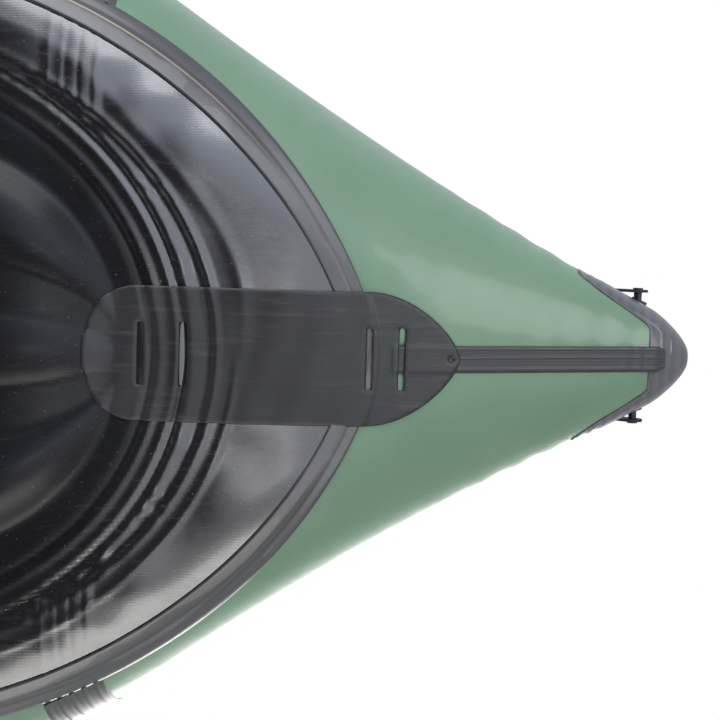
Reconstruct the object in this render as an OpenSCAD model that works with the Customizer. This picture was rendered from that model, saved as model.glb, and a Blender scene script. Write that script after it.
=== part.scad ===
// Inflatable two-seat kayak: +X towards the bow, +Y to port, +Z up, origin under the middle of the hull.

/* [Hull] */
// Overall length over the two nose caps
length = 3600; // [3400:50:4400]
// Greatest width over the side tubes
beam = 844; // [780:2:1020]
// Diameter of a side tube amidships
tube_d = 240; // [220:5:270]
// How far the noses lift above the middle of the hull
nose_rise = 141; // [80:1:190]
// Half width of the blunt nose before it widens
nose_half = 26; // [18:1:32]
// How fast the nose widens, sideways per unit of length
nose_slope = 0.555; // [0.5:0.005:0.65]
// How much faster it widens further from the nose end, per half metre
nose_flare = 0.18; // [0:0.02:0.3]
// Length over which the nose end is rounded
nose_round = 40; // [25:1:60]
// Height of a side tube's underside above the ground
tube_lift = 15; // [10:1:25]
// Gap between the two side tubes where they meet in the noses
tube_gap = 0.4; // [0.2:0.1:1]

/* [Floor] */
// Thickness of the floor chamber at a lobe
floor_t = 96; // [80:1:110]
// How far the floor chamber tucks in beneath each side tube
floor_tuck = 16; // [5:1:22]
// Distance from the nose end to the end of the floor chamber
floor_inset = 545; // [520:5:700]
// Length over which the end of the floor chamber is rounded
floor_round = 210; // [150:10:400]

/* [Bottom skin] */
// Thickness of the bottom skin
skin_t = 1.2; // [0.8:0.1:2]
// How far in from the beam the edge of the bottom skin's tape lies
skin_clear = 48; // [40:1:80]
// Distance from the nose end to the tip of the bottom skin's tape
skin_inset = 289; // [270:1:420]
// Length over which the end of the bottom skin is rounded
skin_round = 500; // [350:10:600]
// Width of the tape along the bottom skin's edge
edge_tape_w = 25; // [20:1:40]
// Thickness of every seam tape
tape_t = 0.8; // [0.5:0.1:1.5]
// Clearance between fabric layers
lay_gap = 0.3; // [0.2:0.05:0.5]
// How far the skin stands off the floor chamber's lobes
skin_slack = 2.5; // [1:0.1:5]

/* [Skeg patch] */
// Width of the skeg patch
patch_w = 123; // [100:1:150]
// Distance from the nose end to the patch's pointed end
patch_inset = 217; // [200:1:300]
// Length of the skeg patch
patch_l = 334; // [320:1:380]
// Length of each slot, across the hull
slot_l = 58; // [40:1:80]
// Width of each slot
slot_w = 5; // [4:0.5:8]
// Radius of the hole for the skeg's locking pin
pin_hole_r = 2.5; // [2:0.1:4]
// Thickness of the patch
patch_t = 2; // [1.5:0.1:3]

/* [Noses] */
// Width of the keel strips
strip_w = 25; // [20:1:35]
// Length of a nose cap along the underside
cap_low = 40; // [35:1:60]
// Distance from the nose end to the end of a keel strip
strip_inset = 24; // [18:1:34]
// Length of a nose cap along the deck
cap_high = 112; // [90:1:150]
// Thickness of a nose cap
cap_t = 1.6; // [1:0.1:3]
// Distance from the nose end to a spray deck's free edge
deck_inset = 640; // [560:5:700]
// Width of the tapes where a nose panel joins a tube
joint_tape_w = 56; // [30:1:60]
// Distance from the nose end to those tapes
joint_inset = 540; // [520:1:760]

/* [Carry handles] */
// Distance from the nose end to a handle's pivots
pivot_inset = 52; // [48:1:56]
// Diameter of a handle's grip
grip_d = 24; // [20:1:30]
// Width of the webbing
web_w = 20; // [16:1:26]

/* [Seats] */
// Clearance between a seat and each side tube
seat_clear = 14; // [8:1:30]
// Length of a seat cushion
seat_l = 390; // [340:5:440]
// Thickness of a seat cushion
seat_t = 68; // [50:1:80]
// Height of a backrest
back_h = 330; // [260:5:380]
// Thickness of a backrest
back_t = 58; // [40:1:70]
// How far a backrest leans back from upright, in degrees
back_lean = 12; // [5:1:20]
// Diameter of a footrest roll
roll_d = 110; // [80:1:130]

/* [Fittings] */
// Radius of a D-ring's wire
ring_wire = 2.5; // [2:0.1:3]
// Inner width of a D-ring
ring_in = 30; // [25:1:40]
// Radius of an inflation valve's socket
valve_bore = 11; // [9:0.5:12]
// Travel of a valve's plunger
valve_travel = 4; // [2:0.5:5]

/* [Hidden] */
half = length/2;
tube_r = tube_d/2;
tube_z = tube_lift + tube_r;          // height of a tube's axis amidships
tube_sides = 24;
tube_rings = 64;
tube_end = 3;                         // a tube stops this far inside its cap
facet_slack = 1.3;                    // room for the flats of a faceted tube
nose_blend = 100;                     // the flare rounds into the beam over this width
tall_share = 0.614;                   // a tube's half height near a nose, as a share of the hull's half width
wide_share = 0.85;                    // and its half width
swell_from = 870;                     // towards a nose a tube grows a tenth wider over this stretch
swell_over = 320;
square_from = 540;                    // its inner side turns square over this stretch
square_over = 270;
rocker_power = 3.6;                   // how late the bottom line rises towards a nose
span_sag = 5;                         // the skin between the tubes lies this far above their undersides
cap_steps = 12;
cap_rows = 8;
floor_half = beam/2 - tube_d + floor_tuck;
skin_half = beam/2 - skin_clear;
seat_w = 2*(beam/2 - tube_d - seat_clear);
roll_x = half - 790;                  // middle of the front footrest roll
seat_xs = [roll_x - 660, 1150 - half];         // middles of the two seat cushions
roll_xs = [roll_x, seat_xs[1] + 650];          // middles of the two footrest rolls
ring_xs = [seat_xs[0] + 250, seat_xs[1] + 250, half - 920, 900 - half];  // D-rings: the first two hold the seat straps
held_rings = 2;
ring_turn = 30;                       // a D-ring sits this far inboard of a tube's top, in degrees
ring_lift = 35;                       // a strap holds its D-ring up by this much
valve_x = seat_xs[1] + 90;            // the side tubes' valves
floor_valve_x = 800 - half;
floor_cuts = [floor_inset + 4, 864, 1296];    // distances from the nose end of the joins between floor sections
pin_gap = 0.3;                        // clearance round a pin
tape_gap = 0.7;                       // clearance between a seam tape and what it covers
cap_gap = 0.9;                        // clearance between a nose cap and the tubes

// ---- the hull's shape: every value is a function of s, the distance from the nearer nose end ----
function nose_s(x) = half - abs(x);
function smin(a, b, w) = let(h = max(w - abs(a - b), 0)/w) min(a, b) - h*h*w/4;
function ease(t) = let(c = min(max(t, 0), 1)) c*c*(3 - 2*c);
function tip(s) = s >= nose_round ? 1 : sqrt(1 - pow(1 - max(s, 0)/nose_round, 2));
function half_w(s) = smin(nose_half + nose_slope*s*(1 + nose_flare*(s/500 - 0.5)), beam/2, nose_blend)*tip(s);
function tube_h(s) = smin(tall_share*half_w(s), tube_r, tube_r/4);
function tube_w(s) = smin(wide_share*half_w(s), tube_r*(1 + 0.1*ease((swell_from - s)/swell_over)), tube_r/3);
function tube_y(s) = half_w(s) - tube_w(s);
function inner_w(s) = min(tube_w(s), tube_y(s) - tube_gap/2);
function squareness(s) = 2 + 6*ease((square_from - s)/square_over);
function rocker(s) = nose_rise*pow(1 - s/half, rocker_power);
function axis_z(s) = tube_z + rocker(s);
function tilt(x) = atan((axis_z(nose_s(x + 5)) - axis_z(nose_s(x - 5)))/10);

// a point on the port tube, a degrees round from its underside towards the outside, off clear of it
function tube_pt(x, a, off = 0) =
  let(s = nose_s(x), n = squareness(s), h = tube_h(s) + off)
  sin(a) >= 0
    ? [x, tube_y(s) + (tube_w(s) + off)*sin(a), axis_z(s) - h*cos(a)]
    : [x, tube_y(s) - inner_w(s)*pow(abs(sin(a)), 2/n),
       axis_z(s) - h*sign(cos(a))*pow(abs(cos(a)), 2/n)];

// height of a tube's underside or top at y; beyond its sides it is the axis height
function tube_low(s, y) =
  let(d = abs(y) - tube_y(s), r = d > 0 ? d/tube_w(s) : 0)
  axis_z(s) - tube_h(s)*sqrt(max(1 - r*r, 0));
function tube_in_low(s, y) =
  let(d = tube_y(s) - abs(y), n = squareness(s), r = d/max(inner_w(s), 0.01))
  d <= 0 ? tube_low(s, y) : r >= 1 ? axis_z(s) : axis_z(s) - tube_h(s)*pow(1 - pow(r, n), 1/n);

// the floor chamber: three lobes side by side
function floor_s(s) = min(max((s - floor_inset)/floor_round, 0), 1);
function floor_w(s) = floor_half*sqrt(1 - pow(1 - floor_s(s), 2));
function floor_h(s) = floor_t/2*sqrt(1 - pow(1 - min(floor_s(s)*1.6, 1), 2));
function floor_z(s) = skin_t + lay_gap + skin_slack + floor_t/2 + 0.8*rocker(s);
lobe_pitch = 0.65;                    // lobe spacing, as a share of the floor's half width
lobe_a = 0.35;                        // half width of a lobe, in the same share
skin_lead = 26;                       // the skin starts to lift off this far before the floor's rounded end
lobe_span = 0.82;                     // the taut skin bridges the grooves at this share of a lobe's depth
function lobe_low(y, w) =
  let(i = min(max(round(y/(lobe_pitch*w)), -1), 1), d = (y - i*lobe_pitch*w)/(lobe_a*w))
  sqrt(max(1 - d*d, 0));
function floor_low(s, y) =
  let(w = floor_w(s + skin_lead), low = lobe_low(y, w))
  w < 1 || abs(y) >= w ? 1e3
    : floor_z(s) - floor_h(s + skin_lead)*(abs(y) < lobe_pitch*w ? max(low, lobe_span) : low);

// the bottom skin's underside, and its outline in plan
function belly(s) = axis_z(s) - tube_h(s);        // a tube's lowest line
function span_low(s, y) = abs(y) > tube_y(s) ? 1e3 : belly(s) + span_sag*ease((s - 400)/200);
function skin_inner(x, y) =
  let(s = nose_s(x))
  min(tube_in_low(s, y) - facet_slack, floor_low(s, y) - skin_slack, span_low(s, y)) - lay_gap;
function skin_outer(x, y) = skin_inner(x, y) - skin_t;

// the skin's outline, taken in by e: half width at x, and the point at t degrees round it
function skin_reach(e) = half - skin_inset - e;
function skin_edge(x, e) =
  let(d = min(max(skin_reach(e) - abs(x), 0)/skin_round, 1)) (skin_half - e)*pow(1 - pow(1 - d, 2.05), 0.645);
function rim_pt(t, e) = let(x = skin_reach(e)*cos(t)) [x, sign(sin(t))*skin_edge(x, e)];

// ---- building blocks ----
function quads(rows, cols, around = true) =
  [for (i = [0:rows - 2]) for (j = [0:cols - (around ? 1 : 2)])
    let(k = (j + 1)%cols) [i*cols + j, i*cols + k, (i + 1)*cols + k, (i + 1)*cols + j]];

// the same sheet of squares as triangles, all split along the same diagonal
function sheet_faces(rows, cols, first) =
  [for (q = quads(rows, cols, false)) for (k = [1, 2]) [first + q[0], first + q[k], first + q[k + 1]]];
function turned(faces) = [for (f = faces) [for (i = [len(f) - 1:-1:0]) f[i]]];

// rings of points joined in order and closed at both ends
module loft(rings) {
  n = len(rings[0]);
  m = len(rings);
  polyhedron([for (r = rings) each r],
    concat([[for (j = [n - 1:-1:0]) j]], quads(m, n), [[for (j = [0:n - 1]) (m - 1)*n + j]]));
}

// a closed loop of cross-sections
module ring_loft(rings) {
  n = len(rings[0]);
  m = len(rings);
  polyhedron([for (r = rings) each r],
    [for (i = [0:m - 1]) for (j = [0:n - 1])
      let(k = (j + 1)%n, i2 = (i + 1)%m) [i*n + j, i*n + k, i2*n + k, i2*n + j]]);
}

module port() { children(); }
module starboard() { mirror([0, 1, 0]) children(); }
module bow() { children(); }
module stern() { mirror([1, 0, 0]) children(); }
module both_sides() { for (m = [0, 1]) mirror([0, m, 0]) children(); }
module both_ends() { for (m = [0, 1]) mirror([m, 0, 0]) children(); }

// puts children on a side tube, port being side 1, turned inboard from its top, with +Z out of the fabric
module on_tube(x, turn = 0, off = 0, side = 1) {
  s = nose_s(x);
  translate([x, side*tube_y(s), axis_z(s)]) rotate([0, -tilt(x), 0]) rotate([side*turn, 0, 0])
    translate([0, 0, tube_h(s) + off]) children();
}

module rounded_plate(l, w, t, r) {
  linear_extrude(t) {
    square([l - 2*r, w], center = true);
    square([l, w - 2*r], center = true);
    for (x = [-1, 1]) for (y = [-1, 1]) translate([x*(l/2 - r), y*(w/2 - r)]) circle(r, $fn = 32);
  }
}

// ---- air chambers ----
module side_tube() {
  x_end = half - tube_end;
  xs = [for (i = [0:tube_rings]) x_end*sin(90*(2*i/tube_rings - 1))];
  color("#6f9a7c") difference() {
    loft([for (x = xs) [for (j = [0:tube_sides - 1]) tube_pt(x, 360*j/tube_sides)]]);
    on_tube(valve_x) valve_pocket();
  }
}

module floor_section(x0, x1) {
  steps = 6;
  reach = asin(lobe_pitch/2/lobe_a);
  lobe = function(i, j) let(a0 = i == -1 ? -90 : -reach, a1 = i == 1 ? 90 : reach) a0 + (a1 - a0)*j/steps;
  low = [for (i = [-1:1]) for (j = [0:steps - 1]) [i, lobe(i, j)]];
  x_end = half - floor_cuts[0];
  turn0 = asin(x0/x_end);
  turn1 = asin(x1/x_end);
  rings = 8;
  color("#2c2d30") loft([for (i = [0:rings])
    let(x = x_end*sin(turn0 + (turn1 - turn0)*i/rings), s = nose_s(x), w = floor_w(s), h = floor_h(s))
    concat([for (p = low) [x, w*(p[0]*lobe_pitch + lobe_a*sin(p[1])), floor_z(s) - h*cos(p[1])]],
           [for (p = low) [x, -w*(p[0]*lobe_pitch + lobe_a*sin(p[1])), floor_z(s) + h*cos(p[1])]])]);
}
module floor_section_stern() {
  color("#2c2d30") difference() {
    floor_section(floor_cuts[0] - half, floor_cuts[1] - half);
    at_floor_valve() valve_pocket();
  }
}

// ---- bottom ----
module bottom_skin() {
  rows = 52;
  cols = 25;
  e = edge_tape_w/2;
  x_end = skin_reach(e) - 1.5;
  xs = [for (i = [0:rows - 1]) x_end*sin(90*(2*i/(rows - 1) - 1))];
  grid = function(drop) [for (x = xs) for (j = [0:cols - 1])
    let(y = skin_edge(x, e)*(2*j/(cols - 1) - 1)) [x, y, skin_inner(x, y) - drop]];
  n = rows*cols;
  rim = concat([for (j = [0:cols - 1]) j], [for (i = [1:rows - 1]) i*cols + cols - 1],
    [for (j = [cols - 2:-1:0]) (rows - 1)*cols + j], [for (i = [rows - 2:-1:1]) i*cols]);
  color("#232427") polyhedron(concat(grid(0), grid(skin_t)),
    concat(turned(sheet_faces(rows, cols, 0)), sheet_faces(rows, cols, n),
      [for (i = [0:len(rim) - 1]) let(a = rim[i], b = rim[(i + 1)%len(rim)]) [a, b, b + n, a + n]]));
}

module skin_edge_tape() {
  steps = 120;
  w = edge_tape_w;
  on_skin = function(t, e, drop) let(p = rim_pt(t, e)) [p[0], p[1], skin_outer(p[0], p[1]) - tape_gap - drop];
  on_tube = function(t, e, drop) let(p = rim_pt(t, e), s = nose_s(p[0]))
    [p[0], p[1], min(tube_in_low(s, p[1]), span_low(s, p[1])) - tape_gap - drop];
  color("#1d1e20") ring_loft([for (i = [0:steps - 1]) let(t = 360*(i + 0.5)/steps)
    [on_skin(t, w, 0), on_skin(t, w/2 - 1.5, 0), on_tube(t, 0, 0),
     on_tube(t, 0, tape_t), on_skin(t, w/2 - 1.5, tape_t), on_skin(t, w, tape_t)]]);
}

// a flat band under the keel line between two distances from the nose end, top(s) being its upper face
module keel_band(s0, s1, w, t, top) {
  n = 24;
  ss = [for (i = [0:n]) s0 + (s1 - s0)*i/n];
  rotate([90, 0, 0]) linear_extrude(w, center = true)
    polygon(concat([for (s = ss) [half - s, top(s)]], [for (i = [n:-1:0]) [half - ss[i], top(ss[i]) - t]]));
}

strip_top = function(s) belly(s) - lay_gap - (cap_gap + cap_t)*ease((cap_low + 12 - s)/10);
strip_lap = 60;                       // the stern's keel strip runs this far under the skeg patch
patch_top = function(s) min(
  belly(s) - 2*lay_gap - tape_t - ease((s - skin_inset + 22)/18)*(facet_slack + skin_t + tape_gap),
  floor_low(s, 0) - skin_slack - skin_t - 2*lay_gap - facet_slack);
slot_at = [52, 80, 246, 285];         // the slots' distances from the patch's point

module keel_strip_stern() {
  color("#3a3a3b") stern() keel_band(strip_inset, patch_inset + strip_lap, strip_w, tape_t, strip_top);
}

module keel_strip_bow() {
  color("#3a3a3b") keel_band(strip_inset, skin_inset - 1, strip_w, tape_t, strip_top);
}

patch_neck = 80;                      // from the point to the patch's full width
patch_corner = 45;                    // radius of the corners at the other end
patch_half = function(d) let(r = patch_w/2, in_end = max(patch_corner - (patch_l - d), 0))
  min(r*pow(1 - pow(1 - min(d/patch_neck, 1), 1.8), 0.7), r - patch_corner + sqrt(pow(patch_corner, 2) - pow(in_end, 2)));
module patch_outline() {
  x1 = half - patch_inset;
  n = 40;
  ds = [for (i = [0:n]) patch_l*(1 - cos(180*i/n))/2];
  polygon(concat([for (d = ds) [x1 - d, patch_half(d)]], [for (i = [n:-1:1]) [x1 - ds[i], -patch_half(ds[i])]]));
}

module slot_outline() {
  r = slot_w/2;
  square([slot_w, slot_l - slot_w], center = true);
  for (m = [-1, 1]) translate([0, m*(slot_l/2 - r)]) circle(r, $fn = 32);
}

module skeg_patch() {
  x1 = half - patch_inset;
  color("#2b2c2e") stern() difference() {
    intersection() {
      keel_band(patch_inset - 1, patch_inset + patch_l + 1, patch_w + 2, patch_t, patch_top);
      linear_extrude(tube_z + nose_rise) patch_outline();
    }
    for (d = slot_at) translate([x1 - d, 0, 0]) linear_extrude(tube_z + nose_rise) slot_outline();
    pin_hole();
  }
}

pin_hole_d = 8;                       // the pin hole's distance from the patch's point
pin_tilt = atan((patch_top(patch_inset) - patch_top(patch_inset + 2*pin_hole_d))/(2*pin_hole_d));
module pin_hole() {
  s = patch_inset + pin_hole_d;
  translate([half - s, 0, patch_top(s) - patch_t/2]) rotate([0, -pin_tilt, 0])
    cylinder(h = 6*patch_t, r = pin_hole_r, center = true, $fn = 48);
}

// ---- noses ----
// ring of the nose's section: two half ellipses joined by level lines, off clear of the tubes
function nose_pt(s, a, m, off) =
  [half - s, m*(tube_y(s) + (tube_w(s) + off)*sin(a)), axis_z(s) - (tube_h(s) + off)*cos(a)];
module nose_cap() {
  edge = function(a) cap_low + (cap_high - cap_low)*ease((a - 35)/40);
  ring = function(q, s_tip, off) concat(
    [for (i = [0:cap_steps]) let(a = 180*i/cap_steps) nose_pt(s_tip + (edge(a) - s_tip)*q*q, a, 1, off)],
    [for (i = [cap_steps:-1:0]) let(a = 180*i/cap_steps) nose_pt(s_tip + (edge(a) - s_tip)*q*q, a, -1, off)]);
  color("#62666a") loft(concat(
    [for (j = [0:cap_rows]) ring(j/cap_rows, 0, cap_gap + cap_t)],
    [for (j = [cap_rows:-1:0]) ring(j/cap_rows, tube_end - 0.8, cap_gap)]));
}

tape_from = 48;                       // a joint tape starts this far round from a tube's underside, in degrees
tape_to = 154;
module tube_joint_tapes() {
  steps = 18;
  x1 = half - joint_inset;
  color("#6b6d6d") both_ends() both_sides()
    loft([for (i = [0:steps]) let(a = tape_from + (tape_to - tape_from)*i/steps)
      [tube_pt(x1, a, tape_gap), tube_pt(x1 - joint_tape_w, a, tape_gap),
       tube_pt(x1 - joint_tape_w, a, tape_gap + tape_t), tube_pt(x1, a, tape_gap + tape_t)]]);
}

deck_t = 1.2;
deck_crown = 12;                      // rise of a spray deck's middle
deck_bite = 130;                      // how far the free edge is cut back in the middle
function deck_half(s) = tube_y(s) + 0.3*tube_w(s);
function deck_z(s, y) =
  let(d = max(abs(y) - tube_y(s), 0)/tube_w(s), c = max(1 - pow(y/max(tube_y(s), 1), 2), 0))
  axis_z(s) + tube_h(s)*sqrt(1 - d*d) + deck_crown*c*ease((s - 180)/300);
module spray_deck() {
  rows = 22;
  cols = 17;
  s0 = cap_high + 2;
  grid = function(lift) [for (i = [0:rows - 1]) for (j = [0:cols - 1])
    let(v = 2*j/(cols - 1) - 1, s = s0 + (deck_inset - deck_bite*(1 - v*v) - s0)*i/(rows - 1), y = v*deck_half(s))
    [half - s, y, deck_z(s, y) + lay_gap + facet_slack/2 + lift]];
  n = rows*cols;
  rim = concat([for (j = [0:cols - 1]) j], [for (i = [1:rows - 1]) i*cols + cols - 1],
    [for (j = [cols - 2:-1:0]) (rows - 1)*cols + j], [for (i = [rows - 2:-1:1]) i*cols]);
  color("#3f6d50") polyhedron(concat(grid(deck_t), grid(0)),
    concat(sheet_faces(rows, cols, 0), turned(sheet_faces(rows, cols, n)),
      [for (i = [0:len(rim) - 1]) let(a = rim[i], b = rim[(i + 1)%len(rim)]) [a, a + n, b + n, b]]));
}

// ---- carry handles ----
web_t = 2.5;
grip_inset = 152;                     // the grip's distance from the nose end when it lies on the deck
pivot_up = 14;                        // a pivot's height above the tubes' axis
pivot_off = 13;                       // a pivot's distance outside the nose's flank
flank_y = function(s, z) let(u = (z - axis_z(s))/tube_h(s)) tube_y(s) + tube_w(s)*sqrt(max(1 - u*u, 0));
pivot_x = half - pivot_inset;
pivot_z = axis_z(pivot_inset) + pivot_up;
flank_p = flank_y(pivot_inset, pivot_z) + cap_gap + cap_t;
pivot_y = flank_p + pivot_off;
grip_x = half - grip_inset;
grip_z = axis_z(grip_inset) + tube_h(grip_inset) + deck_t + grip_d/2 + 7;
leg_l = norm([pivot_x - grip_x, grip_z - pivot_z]);
leg_up = atan2(grip_z - pivot_z, pivot_x - grip_x);
pin_r = 2.5;
block = [16, 3, 10];                  // the block on the nose's flank

module handle_anchor() {
  dx = (flank_y(pivot_inset - 1, pivot_z) - flank_y(pivot_inset + 1, pivot_z))/2;
  dz = (flank_y(pivot_inset, pivot_z + 1) - flank_y(pivot_inset, pivot_z - 1))/2;
  n = [-dx, 1, -dz]/norm([-dx, 1, -dz]);
  translate([pivot_x, flank_p + 3*lay_gap, pivot_z])
    rotate([0, 0, -atan2(n[0], n[1])]) rotate([asin(n[2]), 0, 0])
      translate([-block[0]/2, 0, -block[2]/2]) cube(block);
  root = block[1]/2 + 3*lay_gap;
  translate([pivot_x, flank_p + root, pivot_z]) rotate([-90, 0, 0]) {
    cylinder(h = pivot_off - root - pin_gap, r = 4, $fn = 48);
    cylinder(h = pivot_off - root + web_t + 2*pin_gap, r = pin_r, $fn = 48);
    translate([0, 0, pivot_off - root + web_t + pin_gap]) cylinder(h = 1.5, r = 5, $fn = 48);
  }
}

module handle_anchors() {
  color("#1a1f33") both_ends() both_sides() handle_anchor();
}

module leg_outline() {
  r = web_w/2;
  difference() {
    union() {
      translate([0, -r]) square([leg_l, web_w]);
      circle(r, $fn = 64);
      translate([leg_l, 0]) circle(r, $fn = 64);
    }
    circle(pin_r + pin_gap, $fn = 48);
  }
}

module handle_strap() {
  color("#1b1c1f") translate([pivot_x, 0, pivot_z]) rotate([0, 180 + leg_up, 0]) {
    both_sides() translate([0, pivot_y + web_t, 0]) rotate([90, 0, 0]) linear_extrude(web_t) leg_outline();
    translate([leg_l, 0, 0]) rotate([90, 0, 0])
      cylinder(h = 2*pivot_y + web_t, r = grip_d/4, center = true, $fn = 48);
  }
}

module handle_grip() {
  color("#26272a") translate([grip_x, 0, grip_z]) rotate([90, 0, 0]) difference() {
    cylinder(h = 2*pivot_y - 2*pin_gap, r = grip_d/2, center = true, $fn = 64);
    cylinder(h = 2*pivot_y, r = grip_d/4 + pin_gap, center = true, $fn = 48);
  }
}

// ---- seats ----
function floor_top(x) = floor_z(nose_s(x)) + floor_h(nose_s(x));
seat_gap = 0.5;                       // clearance under and behind a soft piece
roll_gap = 3;                         // clearance between a footrest roll's end and a side tube
strap_w = 25;
strap_t = 2.5;
function seat_base(x) = max(floor_top(x - seat_l/2), floor_top(x + seat_l/2)) + seat_gap;
function seat_top(x) = seat_base(x) + seat_t;
function hinge_at(x) = [x - seat_l/2 - seat_gap, 0, seat_top(x) + seat_gap];

module seat_cushion(x) {
  color("#2f3236") translate([x, 0, seat_base(x)]) rounded_plate(seat_l, seat_w, seat_t, 45);
}

module backrest(x) {
  color("#2f3236") translate(hinge_at(x)) rotate([0, -back_lean, 0]) rotate([0, -90, 0])
    translate([back_h/2, 0, 0]) rounded_plate(back_h, seat_w, back_t, 45);
}

// a strap from a D-ring to the upper side of a backrest
function strap_high(x) =
  hinge_at(x) + [-0.8*back_h*sin(back_lean) - back_t/2, seat_w/2 + strap_t/2 + seat_gap, 0.8*back_h*cos(back_lean)];
module seat_strap(x, ring_x) {
  a = strap_high(x);
  b = ring_point(ring_x, ring_reach + 1);
  d = (b - a)/norm(b - a);
  u0 = cross(d, [0, 1, 0]);
  u = u0/norm(u0)*strap_w/2;
  v = cross(u, d)/(strap_w/2)*strap_t/2;
  color("#202124") both_sides() loft([for (p = [a, b]) [p + u + v, p + u - v, p - u - v, p - u + v]]);
}

module footrest(x) {
  r = roll_d/2;
  bulge = 12;
  s = nose_s(abs(x) + r);
  w = 2*min(tube_y(s) - inner_w(s) - roll_gap, seat_w/2);
  color("#34373b") translate([x, 0, floor_top(x) + seat_gap + r]) rotate([90, 0, 0]) {
    cylinder(h = w - 2*bulge, r = r, center = true, $fn = 64);
    cylinder(h = w, r = r - bulge, center = true, $fn = 64);
  }
}

// ---- D-rings ----
ring_r = ring_in/2 + ring_wire;       // radius of the bow's middle line
patch_r = 26;
base_t = 2;
tab = [14, 16];
bar_z = base_t + ring_wire + 1;       // height of a ring's bar above the fabric
ring_reach = ring_r + ring_wire;

// a point of a held ring's pull line, dist from its bar
function ring_point(x, dist) =
  let(s = nose_s(x), p = [-dist*cos(ring_lift), 0, tube_h(s) + lay_gap + bar_z + dist*sin(ring_lift)],
      q = [p[0], -p[2]*sin(ring_turn), p[2]*cos(ring_turn)], k = tilt(x))
  [x, tube_y(s), axis_z(s)] + [q[0]*cos(k) - q[2]*sin(k), q[1], q[0]*sin(k) + q[2]*cos(k)];

module d_ring_patches() {
  color("#37603f") both_sides() for (x = ring_xs) on_tube(x, ring_turn, lay_gap) difference() {
    union() {
      cylinder(h = base_t, r = patch_r, $fn = 64);
      translate([-tab[0]/2, -tab[1]/2, 0]) cube([tab[0], tab[1], bar_z + ring_wire + 2]);
    }
    translate([0, 0, bar_z]) rotate([90, 0, 0])
      cylinder(h = 2*tab[1], r = ring_wire + pin_gap, center = true, $fn = 48);
  }
}

module d_ring(i, side) {
  x = ring_xs[i];
  color("#b9bcbf") on_tube(x, ring_turn, lay_gap, side) translate([0, 0, bar_z])
    rotate([0, i < held_rings ? ring_lift : 0, 0]) {
      rotate([0, 0, 90]) rotate_extrude(angle = 180, $fn = 64) translate([ring_r, 0]) circle(ring_wire, $fn = 32);
      rotate([90, 0, 0]) cylinder(h = 2*ring_r, r = ring_wire, center = true, $fn = 32);
      for (m = [-1, 1]) translate([0, m*ring_r, 0]) sphere(ring_wire, $fn = 32);
    }
}

// ---- valves: +Z is out of the chamber, 0 is the fabric ----
flange_r = 22;
flange_t = 3;
barrel_r = 15;
collar_z = 8;
socket_z = -20;
floor_plate_t = 4;
seat_hole_r = 2.4;
air_hole = [1.6, 6.4];                // radius and pitch radius of the air holes under a plunger's disc
stem_r = 1.6;
button = [4, 2];                      // radius and height of a plunger's button
button_z = -6;
disc = [9, 2];                        // radius and height of a plunger's disc
hinge_x = -21;
hinge_pin_r = 1.2;
knuckle_r = 2.8;
knuckle_l = 10;
lug_t = 2.5;
lid_t = 3;

module valve_pocket() {
  translate([0, 0, socket_z - 14]) cylinder(h = 14 - socket_z + flange_t, r = barrel_r + pin_gap, $fn = 64);
}

module valve_body() {
  color("#232427") difference() {
    union() {
      cylinder(h = flange_t, r = flange_r, $fn = 64);
      translate([0, 0, socket_z - floor_plate_t]) cylinder(h = collar_z - socket_z + floor_plate_t, r = barrel_r, $fn = 64);
      for (m = [-1, 1]) translate([hinge_x, m*(knuckle_l/2 + pin_gap + lug_t/2), 0]) {
        rotate([90, 0, 0]) translate([0, collar_z, -lug_t/2]) cylinder(h = lug_t, r = knuckle_r, $fn = 32);
        translate([-knuckle_r, -lug_t/2, 0]) cube([2*knuckle_r, lug_t, collar_z]);
      }
    }
    translate([0, 0, socket_z]) cylinder(h = 40, r = valve_bore, $fn = 64);
    translate([0, 0, socket_z - 6]) cylinder(h = 10, r = seat_hole_r, $fn = 48);
    for (a = [0:60:300]) rotate(a) translate([air_hole[1], 0, socket_z - 6]) cylinder(h = 10, r = air_hole[0], $fn = 32);
    translate([hinge_x, 0, collar_z]) rotate([90, 0, 0]) cylinder(h = 40, r = hinge_pin_r + 0.05, center = true, $fn = 32);
  }
}

module valve_hinge_pin() {
  translate([hinge_x, 0, collar_z]) rotate([90, 0, 0])
    cylinder(h = knuckle_l + 2*pin_gap + 2*lug_t, r = hinge_pin_r, center = true, $fn = 32);
}

module valve_plunger() {
  disc_top = socket_z - floor_plate_t - pin_gap;
  color("#c9c9c6") {
    translate([0, 0, disc_top - disc[1]]) cylinder(h = disc[1], r = disc[0], $fn = 48);
    translate([0, 0, disc_top - 1]) cylinder(h = button_z + 1 - disc_top + 1, r = stem_r, $fn = 32);
    translate([0, 0, button_z]) cylinder(h = button[1], r = button[0], $fn = 48);
  }
}

// the spring as it is when the plunger is pushed right in
module valve_spring() {
  turns = 4;
  per = 12;
  r = 3.4;
  wire = 0.4;
  z0 = socket_z + pin_gap + wire;
  z1 = button_z - valve_travel - pin_gap - wire;
  color("#a9adb0") loft([for (i = [0:turns*per]) let(a = 360*i/per)
    [for (k = [0:5]) let(b = 60*k)
      [(r + wire*cos(b))*cos(a), (r + wire*cos(b))*sin(a), z0 + (z1 - z0)*i/(turns*per) + wire*sin(b)]]]);
}

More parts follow.
